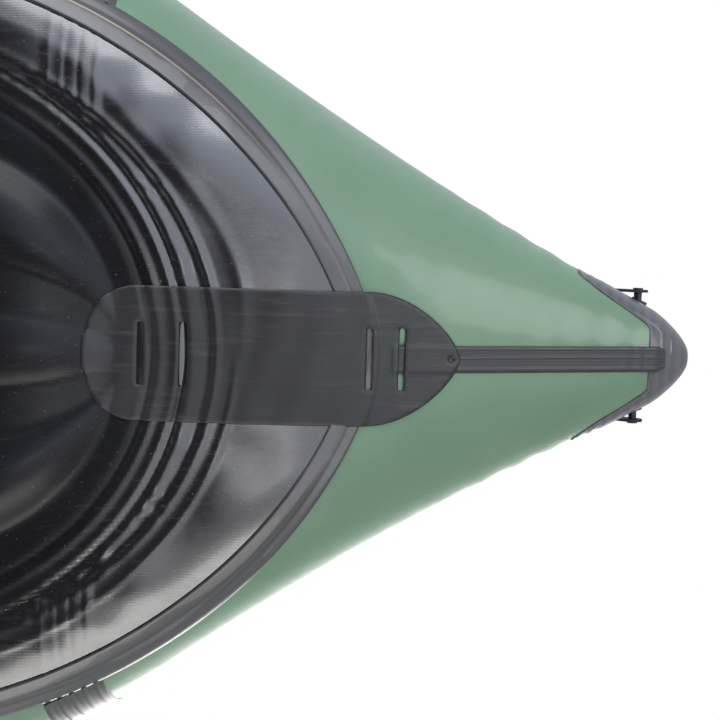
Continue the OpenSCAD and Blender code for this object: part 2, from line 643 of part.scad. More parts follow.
module valve_cap() {
  lid_z = collar_z + pin_gap;
  color("#1b1b1d") difference() {
    union() {
      translate([0, 0, lid_z]) cylinder(h = lid_t, r = barrel_r, $fn = 64);
      translate([0, 0, lid_z - 2]) cylinder(h = 3, r = valve_bore - 1.5, $fn = 48);
      translate([hinge_x, 0, collar_z]) rotate([90, 0, 0]) cylinder(h = knuckle_l, r = knuckle_r, center = true, $fn = 32);
      translate([hinge_x, -knuckle_l/2, lid_z]) cube([-hinge_x, knuckle_l, knuckle_r - pin_gap]);
    }
    translate([hinge_x, 0, collar_z]) rotate([90, 0, 0])
      cylinder(h = 2*knuckle_l, r = hinge_pin_r + pin_gap, center = true, $fn = 32);
  }
}

module at_tube_valve() { on_tube(valve_x, 0, lay_gap) children(); }
module at_floor_valve() {
  x = floor_valve_x;
  translate([x, 0, max(floor_top(x - flange_r), floor_top(x + flange_r)) + lay_gap]) children();
}

module valve_hinge_pins() {
  color("#b9bcbf") {
    both_sides() at_tube_valve() valve_hinge_pin();
    at_floor_valve() valve_hinge_pin();
  }
}

// ---- what is shown ----
side_tube();  // side_tube_port
starboard() side_tube();  // side_tube_starboard
floor_section_stern();
floor_section(floor_cuts[1] - half, floor_cuts[2] - half);  // floor_section_aft
floor_section(floor_cuts[2] - half, half - floor_cuts[2]);  // floor_section_middle
floor_section(half - floor_cuts[2], half - floor_cuts[1]);  // floor_section_fore
floor_section(half - floor_cuts[1], half - floor_cuts[0]);  // floor_section_bow
bottom_skin();
skin_edge_tape();
skeg_patch();
keel_strip_stern();
keel_strip_bow();
stern() nose_cap();  // stern_cap
nose_cap();  // bow_cap
tube_joint_tapes();
stern() spray_deck();  // stern_deck
spray_deck();  // bow_deck
handle_anchors();
stern() handle_strap();  // stern_handle_strap
stern() handle_grip();  // stern_handle_grip
handle_strap();  // bow_handle_strap
handle_grip();  // bow_handle_grip
seat_cushion(seat_xs[0]);  // seat_cushion_front
seat_cushion(seat_xs[1]);  // seat_cushion_rear
backrest(seat_xs[0]);  // backrest_front
backrest(seat_xs[1]);  // backrest_rear
seat_strap(seat_xs[0], ring_xs[0]);  // seat_straps_front
seat_strap(seat_xs[1], ring_xs[1]);  // seat_straps_rear
footrest(roll_xs[0]);  // footrest_front
footrest(roll_xs[1]);  // footrest_rear
d_ring_patches();
d_ring(0, 1);  // d_ring_1_port
d_ring(1, 1);  // d_ring_2_port
d_ring(2, 1);  // d_ring_3_port
d_ring(3, 1);  // d_ring_4_port
d_ring(0, -1);  // d_ring_1_starboard
d_ring(1, -1);  // d_ring_2_starboard
d_ring(2, -1);  // d_ring_3_starboard
d_ring(3, -1);  // d_ring_4_starboard
at_tube_valve() valve_body();  // valve_body_port
starboard() at_tube_valve() valve_body();  // valve_body_starboard
at_floor_valve() valve_body();  // valve_body_floor
valve_hinge_pins();
at_tube_valve() valve_plunger();  // valve_plunger_port
starboard() at_tube_valve() valve_plunger();  // valve_plunger_starboard
at_floor_valve() valve_plunger();  // valve_plunger_floor
at_tube_valve() valve_spring();  // valve_spring_port
starboard() at_tube_valve() valve_spring();  // valve_spring_starboard
at_floor_valve() valve_spring();  // valve_spring_floor
at_tube_valve() valve_cap();  // valve_cap_port
starboard() at_tube_valve() valve_cap();  // valve_cap_starboard
at_floor_valve() valve_cap();  // valve_cap_floor
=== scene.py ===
import math
import bpy
import numpy as np
from mathutils import Matrix, Vector


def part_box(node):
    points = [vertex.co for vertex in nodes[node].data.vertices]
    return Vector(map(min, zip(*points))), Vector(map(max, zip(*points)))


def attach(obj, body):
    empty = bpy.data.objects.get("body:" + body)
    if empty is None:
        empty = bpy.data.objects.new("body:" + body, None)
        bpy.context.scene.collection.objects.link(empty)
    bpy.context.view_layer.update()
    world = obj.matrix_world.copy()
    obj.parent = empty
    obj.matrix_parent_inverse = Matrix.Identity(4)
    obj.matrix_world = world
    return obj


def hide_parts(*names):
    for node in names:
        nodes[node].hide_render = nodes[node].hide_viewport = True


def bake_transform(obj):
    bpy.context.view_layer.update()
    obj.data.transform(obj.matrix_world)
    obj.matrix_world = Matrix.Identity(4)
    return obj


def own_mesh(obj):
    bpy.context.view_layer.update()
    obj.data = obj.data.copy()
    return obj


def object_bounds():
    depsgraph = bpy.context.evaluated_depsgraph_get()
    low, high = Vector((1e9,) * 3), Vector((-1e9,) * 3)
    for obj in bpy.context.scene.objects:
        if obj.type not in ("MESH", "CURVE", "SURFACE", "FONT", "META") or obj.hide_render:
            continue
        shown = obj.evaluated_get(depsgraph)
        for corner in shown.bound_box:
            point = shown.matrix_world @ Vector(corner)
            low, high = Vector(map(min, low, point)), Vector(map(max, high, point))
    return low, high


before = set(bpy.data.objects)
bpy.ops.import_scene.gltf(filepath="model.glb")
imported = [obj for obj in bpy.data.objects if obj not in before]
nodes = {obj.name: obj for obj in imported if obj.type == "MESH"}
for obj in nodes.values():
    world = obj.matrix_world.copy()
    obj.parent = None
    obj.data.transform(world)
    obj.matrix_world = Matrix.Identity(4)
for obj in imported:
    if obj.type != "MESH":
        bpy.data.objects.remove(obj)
cadBox = [list(corner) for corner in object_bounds()]
bow, stern = 1, -1
port, starboard = 1, -1
print("frame loaded,", len(nodes), "nodes")

# The hull's shape in metres. s is the distance from the nearer nose end, y is measured from the keel line.
hull = {
    "tubeDiameter": 0.24,
    "noseRise": 0.141,
    "noseHalf": 0.026,
    "noseSlope": 0.555,
    "noseFlare": 0.18,
    "noseRound": 0.04,
    "tubeLift": 0.015,
    "tubeGap": 0.0004,
    "flareMiddle": 0.5,
    "blend": 0.1,
    "tallShare": 0.614,
    "wideShare": 0.85,
    "tallBlend": 0.03,
    "wideBlend": 0.04,
    "swell": 0.1,
    "swellFrom": 0.87,
    "swellOver": 0.32,
    "squareFrom": 0.54,
    "squareOver": 0.27,
    "squareBy": 6,
    "rockerPower": 3.6,
}
hullHalf = cadBox[1][0]
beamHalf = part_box("side_tube_port")[1][1]
tubeRadius = hull["tubeDiameter"] / 2


# 0 below 0, 1 above 1, and a smooth S between: 3 t squared less 2 t cubed
def ease(t):
    c = np.clip(t, 0, 1)
    return c * c * (3 - 2 * c)


def softMin(a, b, width):  # the lesser of two, rounded where they meet
    h = np.maximum(width - np.abs(a - b), 0) / width
    return np.minimum(a, b) - h * h * width / 4


# Half the length less the distance from midships
def noseDistance(x):
    return hullHalf - np.abs(x)


def halfWidth(s):  # straight flare from the nose, rounded into the beam and into the nose end
    flare = 1 + hull["noseFlare"] * (s / hull["flareMiddle"] - 0.5)
    wide = softMin(hull["noseHalf"] + hull["noseSlope"] * s * flare, beamHalf, hull["blend"])
    r = hull["noseRound"]
    return wide * np.sqrt(np.maximum(1 - (1 - np.clip(s, 0, r) / r) ** 2, 0))


# Half a tube's height: a share of the hull's half width, up to the tube's radius
def tubeHeight(s):
    return softMin(hull["tallShare"] * halfWidth(s), tubeRadius, hull["tallBlend"])


# Half a tube's width: a share of the hull's half width, up to the radius swollen a tenth
def tubeWidth(s):
    swollen = tubeRadius * (1 + hull["swell"] * ease((hull["swellFrom"] - s) / hull["swellOver"]))
    return softMin(hull["wideShare"] * halfWidth(s), swollen, hull["wideBlend"])


# Where a tube's middle lies: the hull's half width less half the tube's
def tubeMiddle(s):
    return halfWidth(s) - tubeWidth(s)


# A tube's half width inboard, kept short of the keel line
def innerWidth(s):
    return np.minimum(tubeWidth(s), tubeMiddle(s) - hull["tubeGap"] / 2)


# Power of the inner side's curve: 2 is an ellipse, 8 is nearly square
def squareness(s):
    return 2 + hull["squareBy"] * ease((hull["squareFrom"] - s) / hull["squareOver"])


# Rise of the hull: the nose's rise times a power of the share of the way to it
def rocker(s):
    return hull["noseRise"] * (1 - s / hullHalf) ** hull["rockerPower"]


# Height of a tube's middle line: its lift, its radius and the rocker
def axisHeight(s):
    return hull["tubeLift"] + tubeRadius + rocker(s)


# A point of the port tube: a half ellipse on the outside and a squarer one inboard, a radians from
# the underside.
def tubePoint(x, a, off=0.0):
    s = noseDistance(x)
    n = squareness(s)
    h = tubeHeight(s) + off
    sine, cosine = np.sin(a), np.cos(a)
    outY = tubeMiddle(s) + (tubeWidth(s) + off) * sine
    outZ = axisHeight(s) - h * cosine
    inY = tubeMiddle(s) - innerWidth(s) * np.abs(sine) ** (2 / n)
    inZ = axisHeight(s) - h * np.sign(cosine) * np.abs(cosine) ** (2 / n)
    outer = sine >= 0
    return np.stack(np.broadcast_arrays(x, np.where(outer, outY, inY), np.where(outer, outZ, inZ)), -1)


def tubeUnder(s, y):  # underside of the two tubes, flat between their lowest lines
    d = np.maximum(np.abs(y) - tubeMiddle(s), 0) / tubeWidth(s)
    return axisHeight(s) - tubeHeight(s) * np.sqrt(np.clip(1 - d * d, 0, 1))


# Meshes from grids of points
def makeObject(name, verts, faces, uv=None, smooth=True):
    mesh = bpy.data.meshes.new(name)
    mesh.from_pydata(np.asarray(verts, float).tolist(), [], np.asarray(faces).tolist())
    if uv is not None:
        corner = np.empty(len(mesh.loops), np.int32)
        mesh.loops.foreach_get("vertex_index", corner)
        layer = mesh.uv_layers.new(name="cloth")
        layer.data.foreach_set("uv", np.asarray(uv, np.float32)[corner].ravel())
    mesh.polygons.foreach_set("use_smooth", np.full(len(mesh.polygons), smooth))
    mesh.update()
    piece = bpy.data.objects.new(name, mesh)
    bpy.context.collection.objects.link(piece)
    return piece


# Quads of a grid, closed round its columns or its rows
def gridFaces(rows, columns, around=False, ring=False):
    i = np.arange(rows if ring else rows - 1)[:, None]
    j = np.arange(columns if around else columns - 1)[None, :]
    i2, j2 = (i + 1) % rows, (j + 1) % columns
    quad = [i * columns + j, i * columns + j2, i2 * columns + j2, i2 * columns + j]
    return np.stack(np.broadcast_arrays(*quad), -1).reshape(-1, 4)


# Turns every face of a closed mesh outwards, by the sign of its volume.
def faceOut(piece):
    mesh = piece.data
    mesh.calc_loop_triangles()
    co = np.empty(len(mesh.vertices) * 3)
    mesh.vertices.foreach_get("co", co)
    co = co.reshape(-1, 3)
    tri = np.empty(len(mesh.loop_triangles) * 3, np.int32)
    mesh.loop_triangles.foreach_get("vertices", tri)
    a, b, c = (co[tri.reshape(-1, 3)[:, k]] for k in range(3))
    if np.einsum("ij,ij->i", a, np.cross(b, c)).sum() < 0:
        mesh.flip_normals()
    return piece


# Rings of points joined in order round a closed section, with its two ends closed.
def tube(name, rings, uv=None, closeEnds=True, ring=False):
    rows, columns = rings.shape[:2]
    faces = gridFaces(rows, columns, around=True, ring=ring).tolist()
    if closeEnds and not ring:
        faces += [list(range(columns))[::-1], list(range((rows - 1) * columns, rows * columns))]
    return faceOut(makeObject(name, rings.reshape(-1, 3), np.array(faces, dtype=object), uv))


# Two sheets of points with the same rows and columns, joined along their rims into a thin closed
# solid.
def shell(name, outer, inner, uv=None):
    rows, columns = outer.shape[:2]
    n = rows * columns
    quads = gridFaces(rows, columns)
    index = np.arange(n).reshape(rows, columns)
    rim = np.concatenate([index[0, :-1], index[:-1, -1], index[-1, :0:-1], index[:0:-1, 0]])
    after = np.roll(rim, -1)
    sides = np.stack([rim, rim + n, after + n, after], -1)
    faces = np.concatenate([quads, quads[:, ::-1] + n, sides])
    coords = None if uv is None else np.concatenate([uv.reshape(-1, 2)] * 2)
    return faceOut(makeObject(name, np.concatenate([outer.reshape(-1, 3), inner.reshape(-1, 3)]), faces,
                              coords))


# The same points at the other end, or on the other side
def mirrored(points, end=bow, side=port):
    return points * np.array([end, side, 1.0])


# Gives a piece its material, its body and the CAD nodes it stands for
def finishPiece(piece, body, material, replaced=()):
    piece.data.materials.clear()
    piece.data.materials.append(material)
    if body:
        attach(piece, body)
    if replaced:
        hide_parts(*replaced)
    return piece


# Materials
def newMaterial(name):
    material = bpy.data.materials.new(name)
    material.use_nodes = True
    material.node_tree.nodes.clear()
    return material, material.node_tree


# A shader node with its sockets linked or set
def addNode(tree, kind, inputs=None, **settings):
    made = tree.nodes.new(kind)
    for key, value in settings.items():
        setattr(made, key, value)
    for key, value in (inputs or {}).items():
        if isinstance(value, bpy.types.NodeSocket):
            tree.links.new(value, made.inputs[key])
        else:
            made.inputs[key].default_value = value
    return made


def srgb(r, g, b):  # 0 to 255 as seen, to the linear colour a shader takes
    # Undoes the display's curve on one channel
    def linear(v):
        c = v / 255
        return c / 12.92 if c <= 0.04045 else ((c + 0.055) / 1.055) ** 2.4
    return (linear(r), linear(g), linear(b), 1.0)


# Maps low to high onto first to second, held at both ends
def ramp(tree, source, low, high, first, second):
    made = addNode(tree, "ShaderNodeMapRange", {"Value": source, "From Min": low, "From Max": high,
                                                "To Min": first, "To Max": second})
    return made.outputs["Result"]


# First colour at factor 0, second at 1
def mixColour(tree, factor, first, second):
    made = addNode(tree, "ShaderNodeMix", data_type="RGBA")
    for key, value in ((0, factor), (6, first), (7, second)):
        if isinstance(value, bpy.types.NodeSocket):
            tree.links.new(value, made.inputs[key])
        else:
            made.inputs[key].default_value = value
    return made.outputs[2]


# Smooth random values between 0 and 1
def noise(tree, where, scale, detail=3.0, rough=0.55):
    return addNode(tree, "ShaderNodeTexNoise", {"Vector": where, "Scale": scale, "Detail": detail,
                                                "Roughness": rough}).outputs["Fac"]


# The place that a texture reads: object coordinates or a named UV, scaled and turned
def placed(tree, scale=(1, 1, 1), source="Object", uvName=None, turn=0.0):
    if uvName:
        spot = addNode(tree, "ShaderNodeUVMap", uv_map=uvName).outputs["UV"]
    else:
        spot = addNode(tree, "ShaderNodeTexCoord").outputs[source]
    return addNode(tree, "ShaderNodeMapping", {"Vector": spot, "Scale": scale,
                                               "Rotation": (0, 0, turn)}).outputs["Vector"]


# Crossed threads: the product of two sine bands, one thread every pitch.
def weave(tree, where, pitch):
    cross = []
    for direction in ("X", "Y"):
        bands = {"Vector": where, "Scale": 0.5 / pitch, "Distortion": 0.4, "Detail": 1.0,
                 "Detail Scale": 0.3}
        cross.append(addNode(tree, "ShaderNodeTexWave", bands, bands_direction=direction).outputs["Fac"])
    return addNode(tree, "ShaderNodeMath", {0: cross[0], 1: cross[1]}, operation="MULTIPLY").outputs[0]


# Tilts the surface by a height's slope, over what lies under it
def bump(tree, height, distance, strength=1.0, under=None):
    inputs = {"Height": height, "Distance": distance, "Strength": strength}
    if under is not None:
        inputs["Normal"] = under
    return addNode(tree, "ShaderNodeBump", inputs).outputs["Normal"]


# Principled shader with its fixed values, joined to the output
def closeMaterial(tree, colour, roughness, normal=None, **fixed):
    shader = addNode(tree, "ShaderNodeBsdfPrincipled", {"Base Color": colour, "Roughness": roughness})
    for key, value in fixed.items():
        shader.inputs[key.replace("_", " ")].default_value = value
    if normal is not None:
        tree.links.new(normal, shader.inputs["Normal"])
    out = addNode(tree, "ShaderNodeOutputMaterial")
    tree.links.new(shader.outputs[0], out.inputs["Surface"])


# Woven cloth under a smooth coating: two tones drifting over the surface, faint threads, handling
# marks.
def coatedFabric(name, light, dark, gloss, threadPitch, threadDepth, blotch=5.0, uvName=None, coat=0.0):
    material, tree = newMaterial(name)
    where = placed(tree)
    threads = placed(tree, uvName=uvName) if uvName else where
    drift = noise(tree, where, blotch, 4.0)
    fine = noise(tree, where, 160.0, 2.0)
    colour = mixColour(tree, ramp(tree, drift, 0.3, 0.7, 0.0, 1.0), dark, light)
    scuff = noise(tree, placed(tree, (0.4, 3.0, 3.0)), 26.0, 6.0, 0.7)
    roughness = ramp(tree, scuff, 0.35, 0.75, gloss, gloss + 0.14)
    normal = bump(tree, weave(tree, threads, threadPitch), threadDepth)
    normal = bump(tree, fine, threadDepth * 0.6, 0.5, normal)
    closeMaterial(tree, colour, roughness, normal, Coat_Weight=coat, Coat_Roughness=0.12)
    return material


# Glossy black coating over coarse yarns that run along the hull, with haze, dust and scuffs.
def skinMaterial():
    material, tree = newMaterial("glossyBottomSkin")
    where = placed(tree)
    warpYarns = {"Vector": placed(tree, turn=0.03), "Scale": 0.5 / 0.0024, "Distortion": 0.8, "Detail": 2.0,
                 "Detail Scale": 0.4}
    weftYarns = {"Vector": where, "Scale": 0.5 / 0.0012, "Distortion": 0.5, "Detail": 1.0}
    warp = addNode(tree, "ShaderNodeTexWave", warpYarns, bands_direction="Y").outputs["Fac"]
    weft = addNode(tree, "ShaderNodeTexWave", weftYarns, bands_direction="X").outputs["Fac"]
    haze = noise(tree, where, 9.0, 5.0, 0.6)
    dust = noise(tree, placed(tree, (1, 5, 5)), 30.0, 6.0, 0.75)
    specks = noise(tree, where, 420.0, 1.0)
    colour = mixColour(tree, ramp(tree, haze, 0.35, 0.7, 0.0, 1.0), srgb(20, 20, 23), srgb(30, 31, 35))
    colour = mixColour(tree, ramp(tree, dust, 0.58, 0.8, 0.0, 0.3), colour, srgb(84, 87, 94))
    colour = mixColour(tree, ramp(tree, specks, 0.73, 0.78, 0.0, 0.5), colour, srgb(120, 118, 112))
    roughness = ramp(tree, dust, 0.35, 0.8, 0.16, 0.34)
    normal = bump(tree, warp, 0.00005, 0.7)
    normal = bump(tree, weft, 0.00002, 0.5, normal)
    normal = bump(tree, haze, 0.0012, 0.5, normal)
    glossy = addNode(tree, "ShaderNodeBsdfPrincipled", {"Base Color": colour, "Roughness": roughness,
                                                        "Specular IOR Level": 1.0, "Coat Weight": 0.8,
                                                        "Coat Roughness": 0.14, "Normal": normal})
    dull = addNode(tree, "ShaderNodeBsdfPrincipled", {"Base Color": colour, "Roughness": 0.3,
                                                      "Specular IOR Level": 0.12, "Normal": normal})
    fromWeld = addNode(tree, "ShaderNodeSeparateXYZ",
                       {"Vector": addNode(tree, "ShaderNodeUVMap", uv_map="cloth").outputs["UV"]})
    inside = ramp(tree, fromWeld.outputs["X"], -0.004, -0.035, 0.0, 0.92)
    mix = addNode(tree, "ShaderNodeMixShader", {0: inside, 1: glossy.outputs[0], 2: dull.outputs[0]})
    out = addNode(tree, "ShaderNodeOutputMaterial")
    tree.links.new(mix.outputs[0], out.inputs["Surface"])
    return material


# Seam tape: the UV's first value is the distance in from the tape's outer edge, in metres.
def tapeMaterial():
    material, tree = newMaterial("skinEdgeTapeRubber")
    spot = addNode(tree, "ShaderNodeSeparateXYZ",
                   {"Vector": addNode(tree, "ShaderNodeUVMap", uv_map="cloth").outputs["UV"]})
    across, along = spot.outputs["X"], spot.outputs["Y"]

    # 1 within a narrow band at one distance from the tape's edge, 0 outside it
    def line(at, width):
        apart = addNode(tree, "ShaderNodeMath", {0: across, 1: at}, operation="SUBTRACT").outputs[0]
        apart = addNode(tree, "ShaderNodeMath", {0: apart}, operation="ABSOLUTE").outputs[0]
        return ramp(tree, apart, width * 0.4, width * 0.7, 1.0, 0.0)
    where = placed(tree)
    drift = noise(tree, where, 12.0, 4.0)
    colour = mixColour(tree, ramp(tree, drift, 0.3, 0.7, 0.0, 1.0), srgb(19, 20, 24), srgb(27, 28, 33))
    outerBand = ramp(tree, across, 0.0098, 0.0104, 1.0, 0.0)
    colour = mixColour(tree, outerBand, colour, srgb(34, 35, 40))
    colour = mixColour(tree, line(0.0101, 0.0011), colour, srgb(16, 16, 19))
    portness = addNode(tree, "ShaderNodeSeparateXYZ", {"Vector": where}).outputs["Y"]
    onPort = ramp(tree, portness, 0.18, 0.30, 0.04, 0.7)
    # a pale beige line just beside the outer band, strong to port and faint to starboard
    beigeLine = addNode(tree, "ShaderNodeMath", {0: line(0.0118, 0.0011), 1: onPort},
                       operation="MULTIPLY").outputs[0]
    colour = mixColour(tree, beigeLine, colour, srgb(170, 160, 128))
    colour = mixColour(tree, line(0.0215, 0.0009), colour, srgb(12, 12, 14))
    threads = addNode(tree, "ShaderNodeTexWave",
                      {"Vector": placed(tree, uvName="cloth"), "Scale": 420.0, "Distortion": 0.3},
                      bands_direction="Y").outputs["Fac"]
    normal = bump(tree, line(0.0101, 0.002), 0.0004, 0.6)
    normal = bump(tree, threads, 0.00008, 0.6, normal)
    closeMaterial(tree, colour, ramp(tree, drift, 0.3, 0.7, 0.3, 0.42), normal, Specular_IOR_Level=1.0,
                  Coat_Weight=0.3)
    return material


# Coated heavy patch with a fine square weave, chalky where it was pressed down and rubbed.
def patchMaterial():
    material, tree = newMaterial("skegPatchRubber")
    where = placed(tree)
    grain = weave(tree, placed(tree, turn=math.pi / 4), 0.0013)
    haze = noise(tree, where, 14.0, 5.0, 0.65)
    streak = noise(tree, placed(tree, (1.2, 14.0, 1.0)), 9.0, 5.0, 0.7)
    colour = mixColour(tree, ramp(tree, haze, 0.3, 0.7, 0.0, 1.0), srgb(26, 26, 28), srgb(38, 38, 41))
    colour = mixColour(tree, ramp(tree, streak, 0.55, 0.85, 0.0, 0.4), colour, srgb(104, 100, 102))
    normal = bump(tree, grain, 0.00012, 0.7)
    normal = bump(tree, streak, 0.0012, 0.5, normal)
    closeMaterial(tree, colour, ramp(tree, streak, 0.3, 0.8, 0.3, 0.46), normal, Specular_IOR_Level=0.5)
    return material


# Cloth or rubber with ribs in one direction, with painted shade in the furrows.
def ribbedMaterial(name, light, dark, gloss, pitch, depth, direction, uvName=None, tint=0.5):
    material, tree = newMaterial(name)
    spot = placed(tree, uvName=uvName)
    bands = {"Vector": spot, "Scale": 1 / pitch / 2, "Distortion": 0.5, "Detail": 2.0, "Detail Scale": 0.5}
    ribs = addNode(tree, "ShaderNodeTexWave", bands, bands_direction=direction).outputs["Fac"]
    worn = noise(tree, placed(tree), 40.0, 5.0, 0.65)
    # painted shade: the dark tone sits in the ribs' furrows and the light tone on their crests
    colour = mixColour(tree, ramp(tree, ribs, 0.1, 0.9, 0.0, 1.0), dark, light)
    colour = mixColour(tree, ramp(tree, worn, 0.55, 0.8, 0.0, tint), colour,
                       tuple(min(c * 2.2 + 0.01, 1) for c in light[:3]) + (1.0,))
    normal = bump(tree, ribs, depth)
    normal = bump(tree, worn, depth * 0.6, 0.5, normal)
    closeMaterial(tree, colour, ramp(tree, worn, 0.3, 0.8, gloss, gloss + 0.15), normal)
    return material


# Woven seat cloth with a dull nap, painted shade between the raised threads, and a lighter wear in slow
# patches.
def seatMaterial(name, light, dark, threadPitch):
    material, tree = newMaterial(name)
    where = placed(tree)
    threads = weave(tree, where, threadPitch)
    slow = noise(tree, where, 7.0, 4.0)
    lint = noise(tree, where, 300.0, 2.0)
    # painted shade: the threads' tone follows their height, dark between them and light on top
    colour = mixColour(tree, ramp(tree, threads, 0.1, 0.6, 0.0, 1.0), dark, light)
    colour = mixColour(tree, ramp(tree, slow, 0.45, 0.8, 0.0, 0.4), colour,
                       tuple(c * 1.8 for c in light[:3]) + (1.0,))
    normal = bump(tree, threads, 0.0003, 0.8)
    normal = bump(tree, lint, 0.0002, 0.4, normal)
    closeMaterial(tree, colour, ramp(tree, slow, 0.3, 0.7, 0.75, 0.9), normal, Sheen_Weight=0.35,
                  Sheen_Roughness=0.5)
    return material


# Moulded plastic with a spark-eroded grain and faint shade from flow.
def plasticMaterial(name, base, gloss, grainSize=900.0):
    material, tree = newMaterial(name)
    where = placed(tree)
    grain = noise(tree, where, grainSize, 2.0)
    flow = noise(tree, where, 60.0, 3.0)
    colour = mixColour(tree, ramp(tree, flow, 0.3, 0.7, 0.0, 1.0), base,
                       tuple(c * 1.25 for c in base[:3]) + (1.0,))
    closeMaterial(tree, colour, ramp(tree, grain, 0.3, 0.7, gloss, gloss + 0.1),
                  bump(tree, grain, 0.00008, 0.7))
    return material


# Drawn stainless wire: fine lines along it and a little tarnish.
def steelMaterial():
    material, tree = newMaterial("stainlessWire")
    lines = noise(tree, placed(tree, (60, 900, 900)), 1.0, 3.0)
    tarnish = noise(tree, placed(tree), 90.0, 4.0)
    colour = mixColour(tree, ramp(tree, tarnish, 0.4, 0.75, 0.0, 1.0), srgb(196, 198, 200),
                       srgb(150, 150, 150))
    closeMaterial(tree, colour, ramp(tree, lines, 0.3, 0.7, 0.18, 0.34), bump(tree, lines, 0.00004, 0.6),
                  Metallic=1.0)
    return material


paint = {
    "tube": coatedFabric("greenTubeFabric", srgb(106, 138, 112), srgb(92, 126, 100), 0.32, 0.0011,
                         0.00005, coat=0.3),
    "deck": coatedFabric("greenDeckFabric", srgb(98, 130, 105), srgb(86, 119, 93), 0.36, 0.0012, 0.00008,
                         coat=0.2),
    "floor": coatedFabric("floorFabric", srgb(40, 41, 44), srgb(30, 31, 33), 0.4, 0.0013, 0.0001),
    "skin": skinMaterial(),
    "tape": tapeMaterial(),
    "patch": patchMaterial(),
    "strip": ribbedMaterial("keelStripRubber", srgb(46, 46, 48), srgb(38, 38, 40), 0.34, 0.0045, 0.00004,
                            "Y", tint=0.1),
    "cap": ribbedMaterial("noseCapRubber", srgb(92, 92, 98), srgb(84, 85, 90), 0.16, 0.017, 0.00006, "X",
                          tint=0.15),
    "joint": ribbedMaterial("jointTape", srgb(66, 68, 68), srgb(56, 58, 58), 0.34, 0.009, 0.00025, "X",
                            uvName="cloth"),
    "webbing": ribbedMaterial("wovenWebbing", srgb(34, 35, 40), srgb(20, 21, 25), 0.6, 0.0022, 0.00035,
                              "X", uvName="cloth"),
    "block": plasticMaterial("anchorNylon", srgb(26, 31, 50), 0.42),
    "grip": ribbedMaterial("gripFoam", srgb(44, 45, 48), srgb(28, 29, 31), 0.7, 0.004, 0.0004, "Y"),
    "seat": seatMaterial("seatCloth", srgb(58, 62, 68), srgb(36, 39, 44), 0.0016),
    "piping": seatMaterial("seatPiping", srgb(30, 31, 34), srgb(19, 20, 22), 0.001),
    "roll": coatedFabric("rollFabric", srgb(56, 59, 63), srgb(42, 44, 48), 0.45, 0.0013, 0.0001),
    "ringPatch": coatedFabric("ringPatchFabric", srgb(84, 118, 92), srgb(74, 106, 81), 0.42, 0.0012,
                              0.0001),
    "steel": steelMaterial(),
    "valve": plasticMaterial("valveNylon", srgb(33, 34, 36), 0.38),
    "plunger": plasticMaterial("plungerAcetal", srgb(206, 206, 200), 0.3),
}
print("materials made:", len(paint))

# Camera: below the stern, looking up at the keel
view = {
    "place": (-1.6848, 0.1147, -1.2547),
    "roll": -4.896,
    "pitch": 8.014,
    "spin": 2.473,
    "lens": 75.0,
    "sensor": 36.0,
}
lookUp = Matrix(((-1, 0, 0), (0, 1, 0), (0, 0, -1)))
turned = (Matrix.Rotation(math.radians(view["roll"]), 3, "X")
          @ Matrix.Rotation(math.radians(view["pitch"]), 3, "Y")
          @ Matrix.Rotation(math.radians(view["spin"]), 3, "Z"))
cameraData = bpy.data.cameras.new("camera")
cameraData.lens = view["lens"]
cameraData.sensor_width = view["sensor"]
camera = bpy.data.objects.new("camera", cameraData)
camera.matrix_world = Matrix.Translation(view["place"]) @ (lookUp @ turned).to_4x4()
bpy.context.collection.objects.link(camera)
bpy.context.scene.camera = camera


# Studio: white surround, a soft sky to reflect, a pale floor seen from above only
studio = {
    "surround": 1.0,
    "floorSize": 14.0,
    "skyPort": (0.72, 0.74, 0.84),
    "skyStarboard": (0.62, 0.64, 0.66),
    "skyDown": (0.045, 0.042, 0.042),
    "sheenPort": (1.75, 1.90, 2.25),
    "sheenStarboard": (1.10, 1.10, 1.12),
    "glare": (6.0, 6.0, 6.1),
    "glareAt": (-0.13, -0.09, -0.98),
    "glareWidth": 0.11,
}


# White behind everything, two tones of sky by side, dark below
def makeWorld():
    world = bpy.data.worlds.new("studio")
    bpy.context.scene.world = world
    world.use_nodes = True
    tree = world.node_tree
    tree.nodes.clear()
    way = addNode(tree, "ShaderNodeSeparateXYZ",
                  {"Vector": addNode(tree, "ShaderNodeTexCoord").outputs["Generated"]})
    side = ramp(tree, way.outputs["Y"], -0.5, 0.5, 0.0, 1.0)
    colour = mixColour(tree, side, studio["skyStarboard"] + (1,), studio["skyPort"] + (1,))
    down = ramp(tree, way.outputs["Z"], -0.62, -0.93, 0.0, 1.0)
    plain = mixColour(tree, down, colour, studio["skyDown"] + (1,))
    # glossy surfaces facing down mirror a bright sheen behind the stern and a dark ground ahead of it
    sheen = mixColour(tree, side, studio["sheenStarboard"] + (1,), studio["sheenPort"] + (1,))
    behind = ramp(tree, way.outputs["X"], 0.12, -0.22, 0.0, 1.0)
    sheen = mixColour(tree, behind, studio["skyDown"] + (1,), sheen)
    towards = addNode(tree, "ShaderNodeTexCoord").outputs["Generated"]
    apart = addNode(tree, "ShaderNodeVectorMath", {0: towards, 1: studio["glareAt"]},
                    operation="DISTANCE").outputs["Value"]
    sheen = mixColour(tree, ramp(tree, apart, studio["glareWidth"], 0.0, 0.0, 1.0), sheen,
                      studio["glare"] + (1,))
    glossy = mixColour(tree, ramp(tree, way.outputs["Z"], -0.45, -0.72, 0.0, 1.0), colour, sheen)
    colour = mixColour(tree, addNode(tree, "ShaderNodeLightPath").outputs["Is Glossy Ray"], plain, glossy)
    reflected = addNode(tree, "ShaderNodeBackground", {"Color": colour, "Strength": 1.0})
    seen = addNode(tree, "ShaderNodeBackground", {"Color": (1, 1, 1, 1), "Strength": studio["surround"]})
    path = addNode(tree, "ShaderNodeLightPath")
    mix = addNode(tree, "ShaderNodeMixShader",
                  {0: path.outputs["Is Camera Ray"], 1: reflected.outputs[0], 2: seen.outputs[0]})
    out = addNode(tree, "ShaderNodeOutputWorld")
    tree.links.new(mix.outputs[0], out.inputs["Surface"])


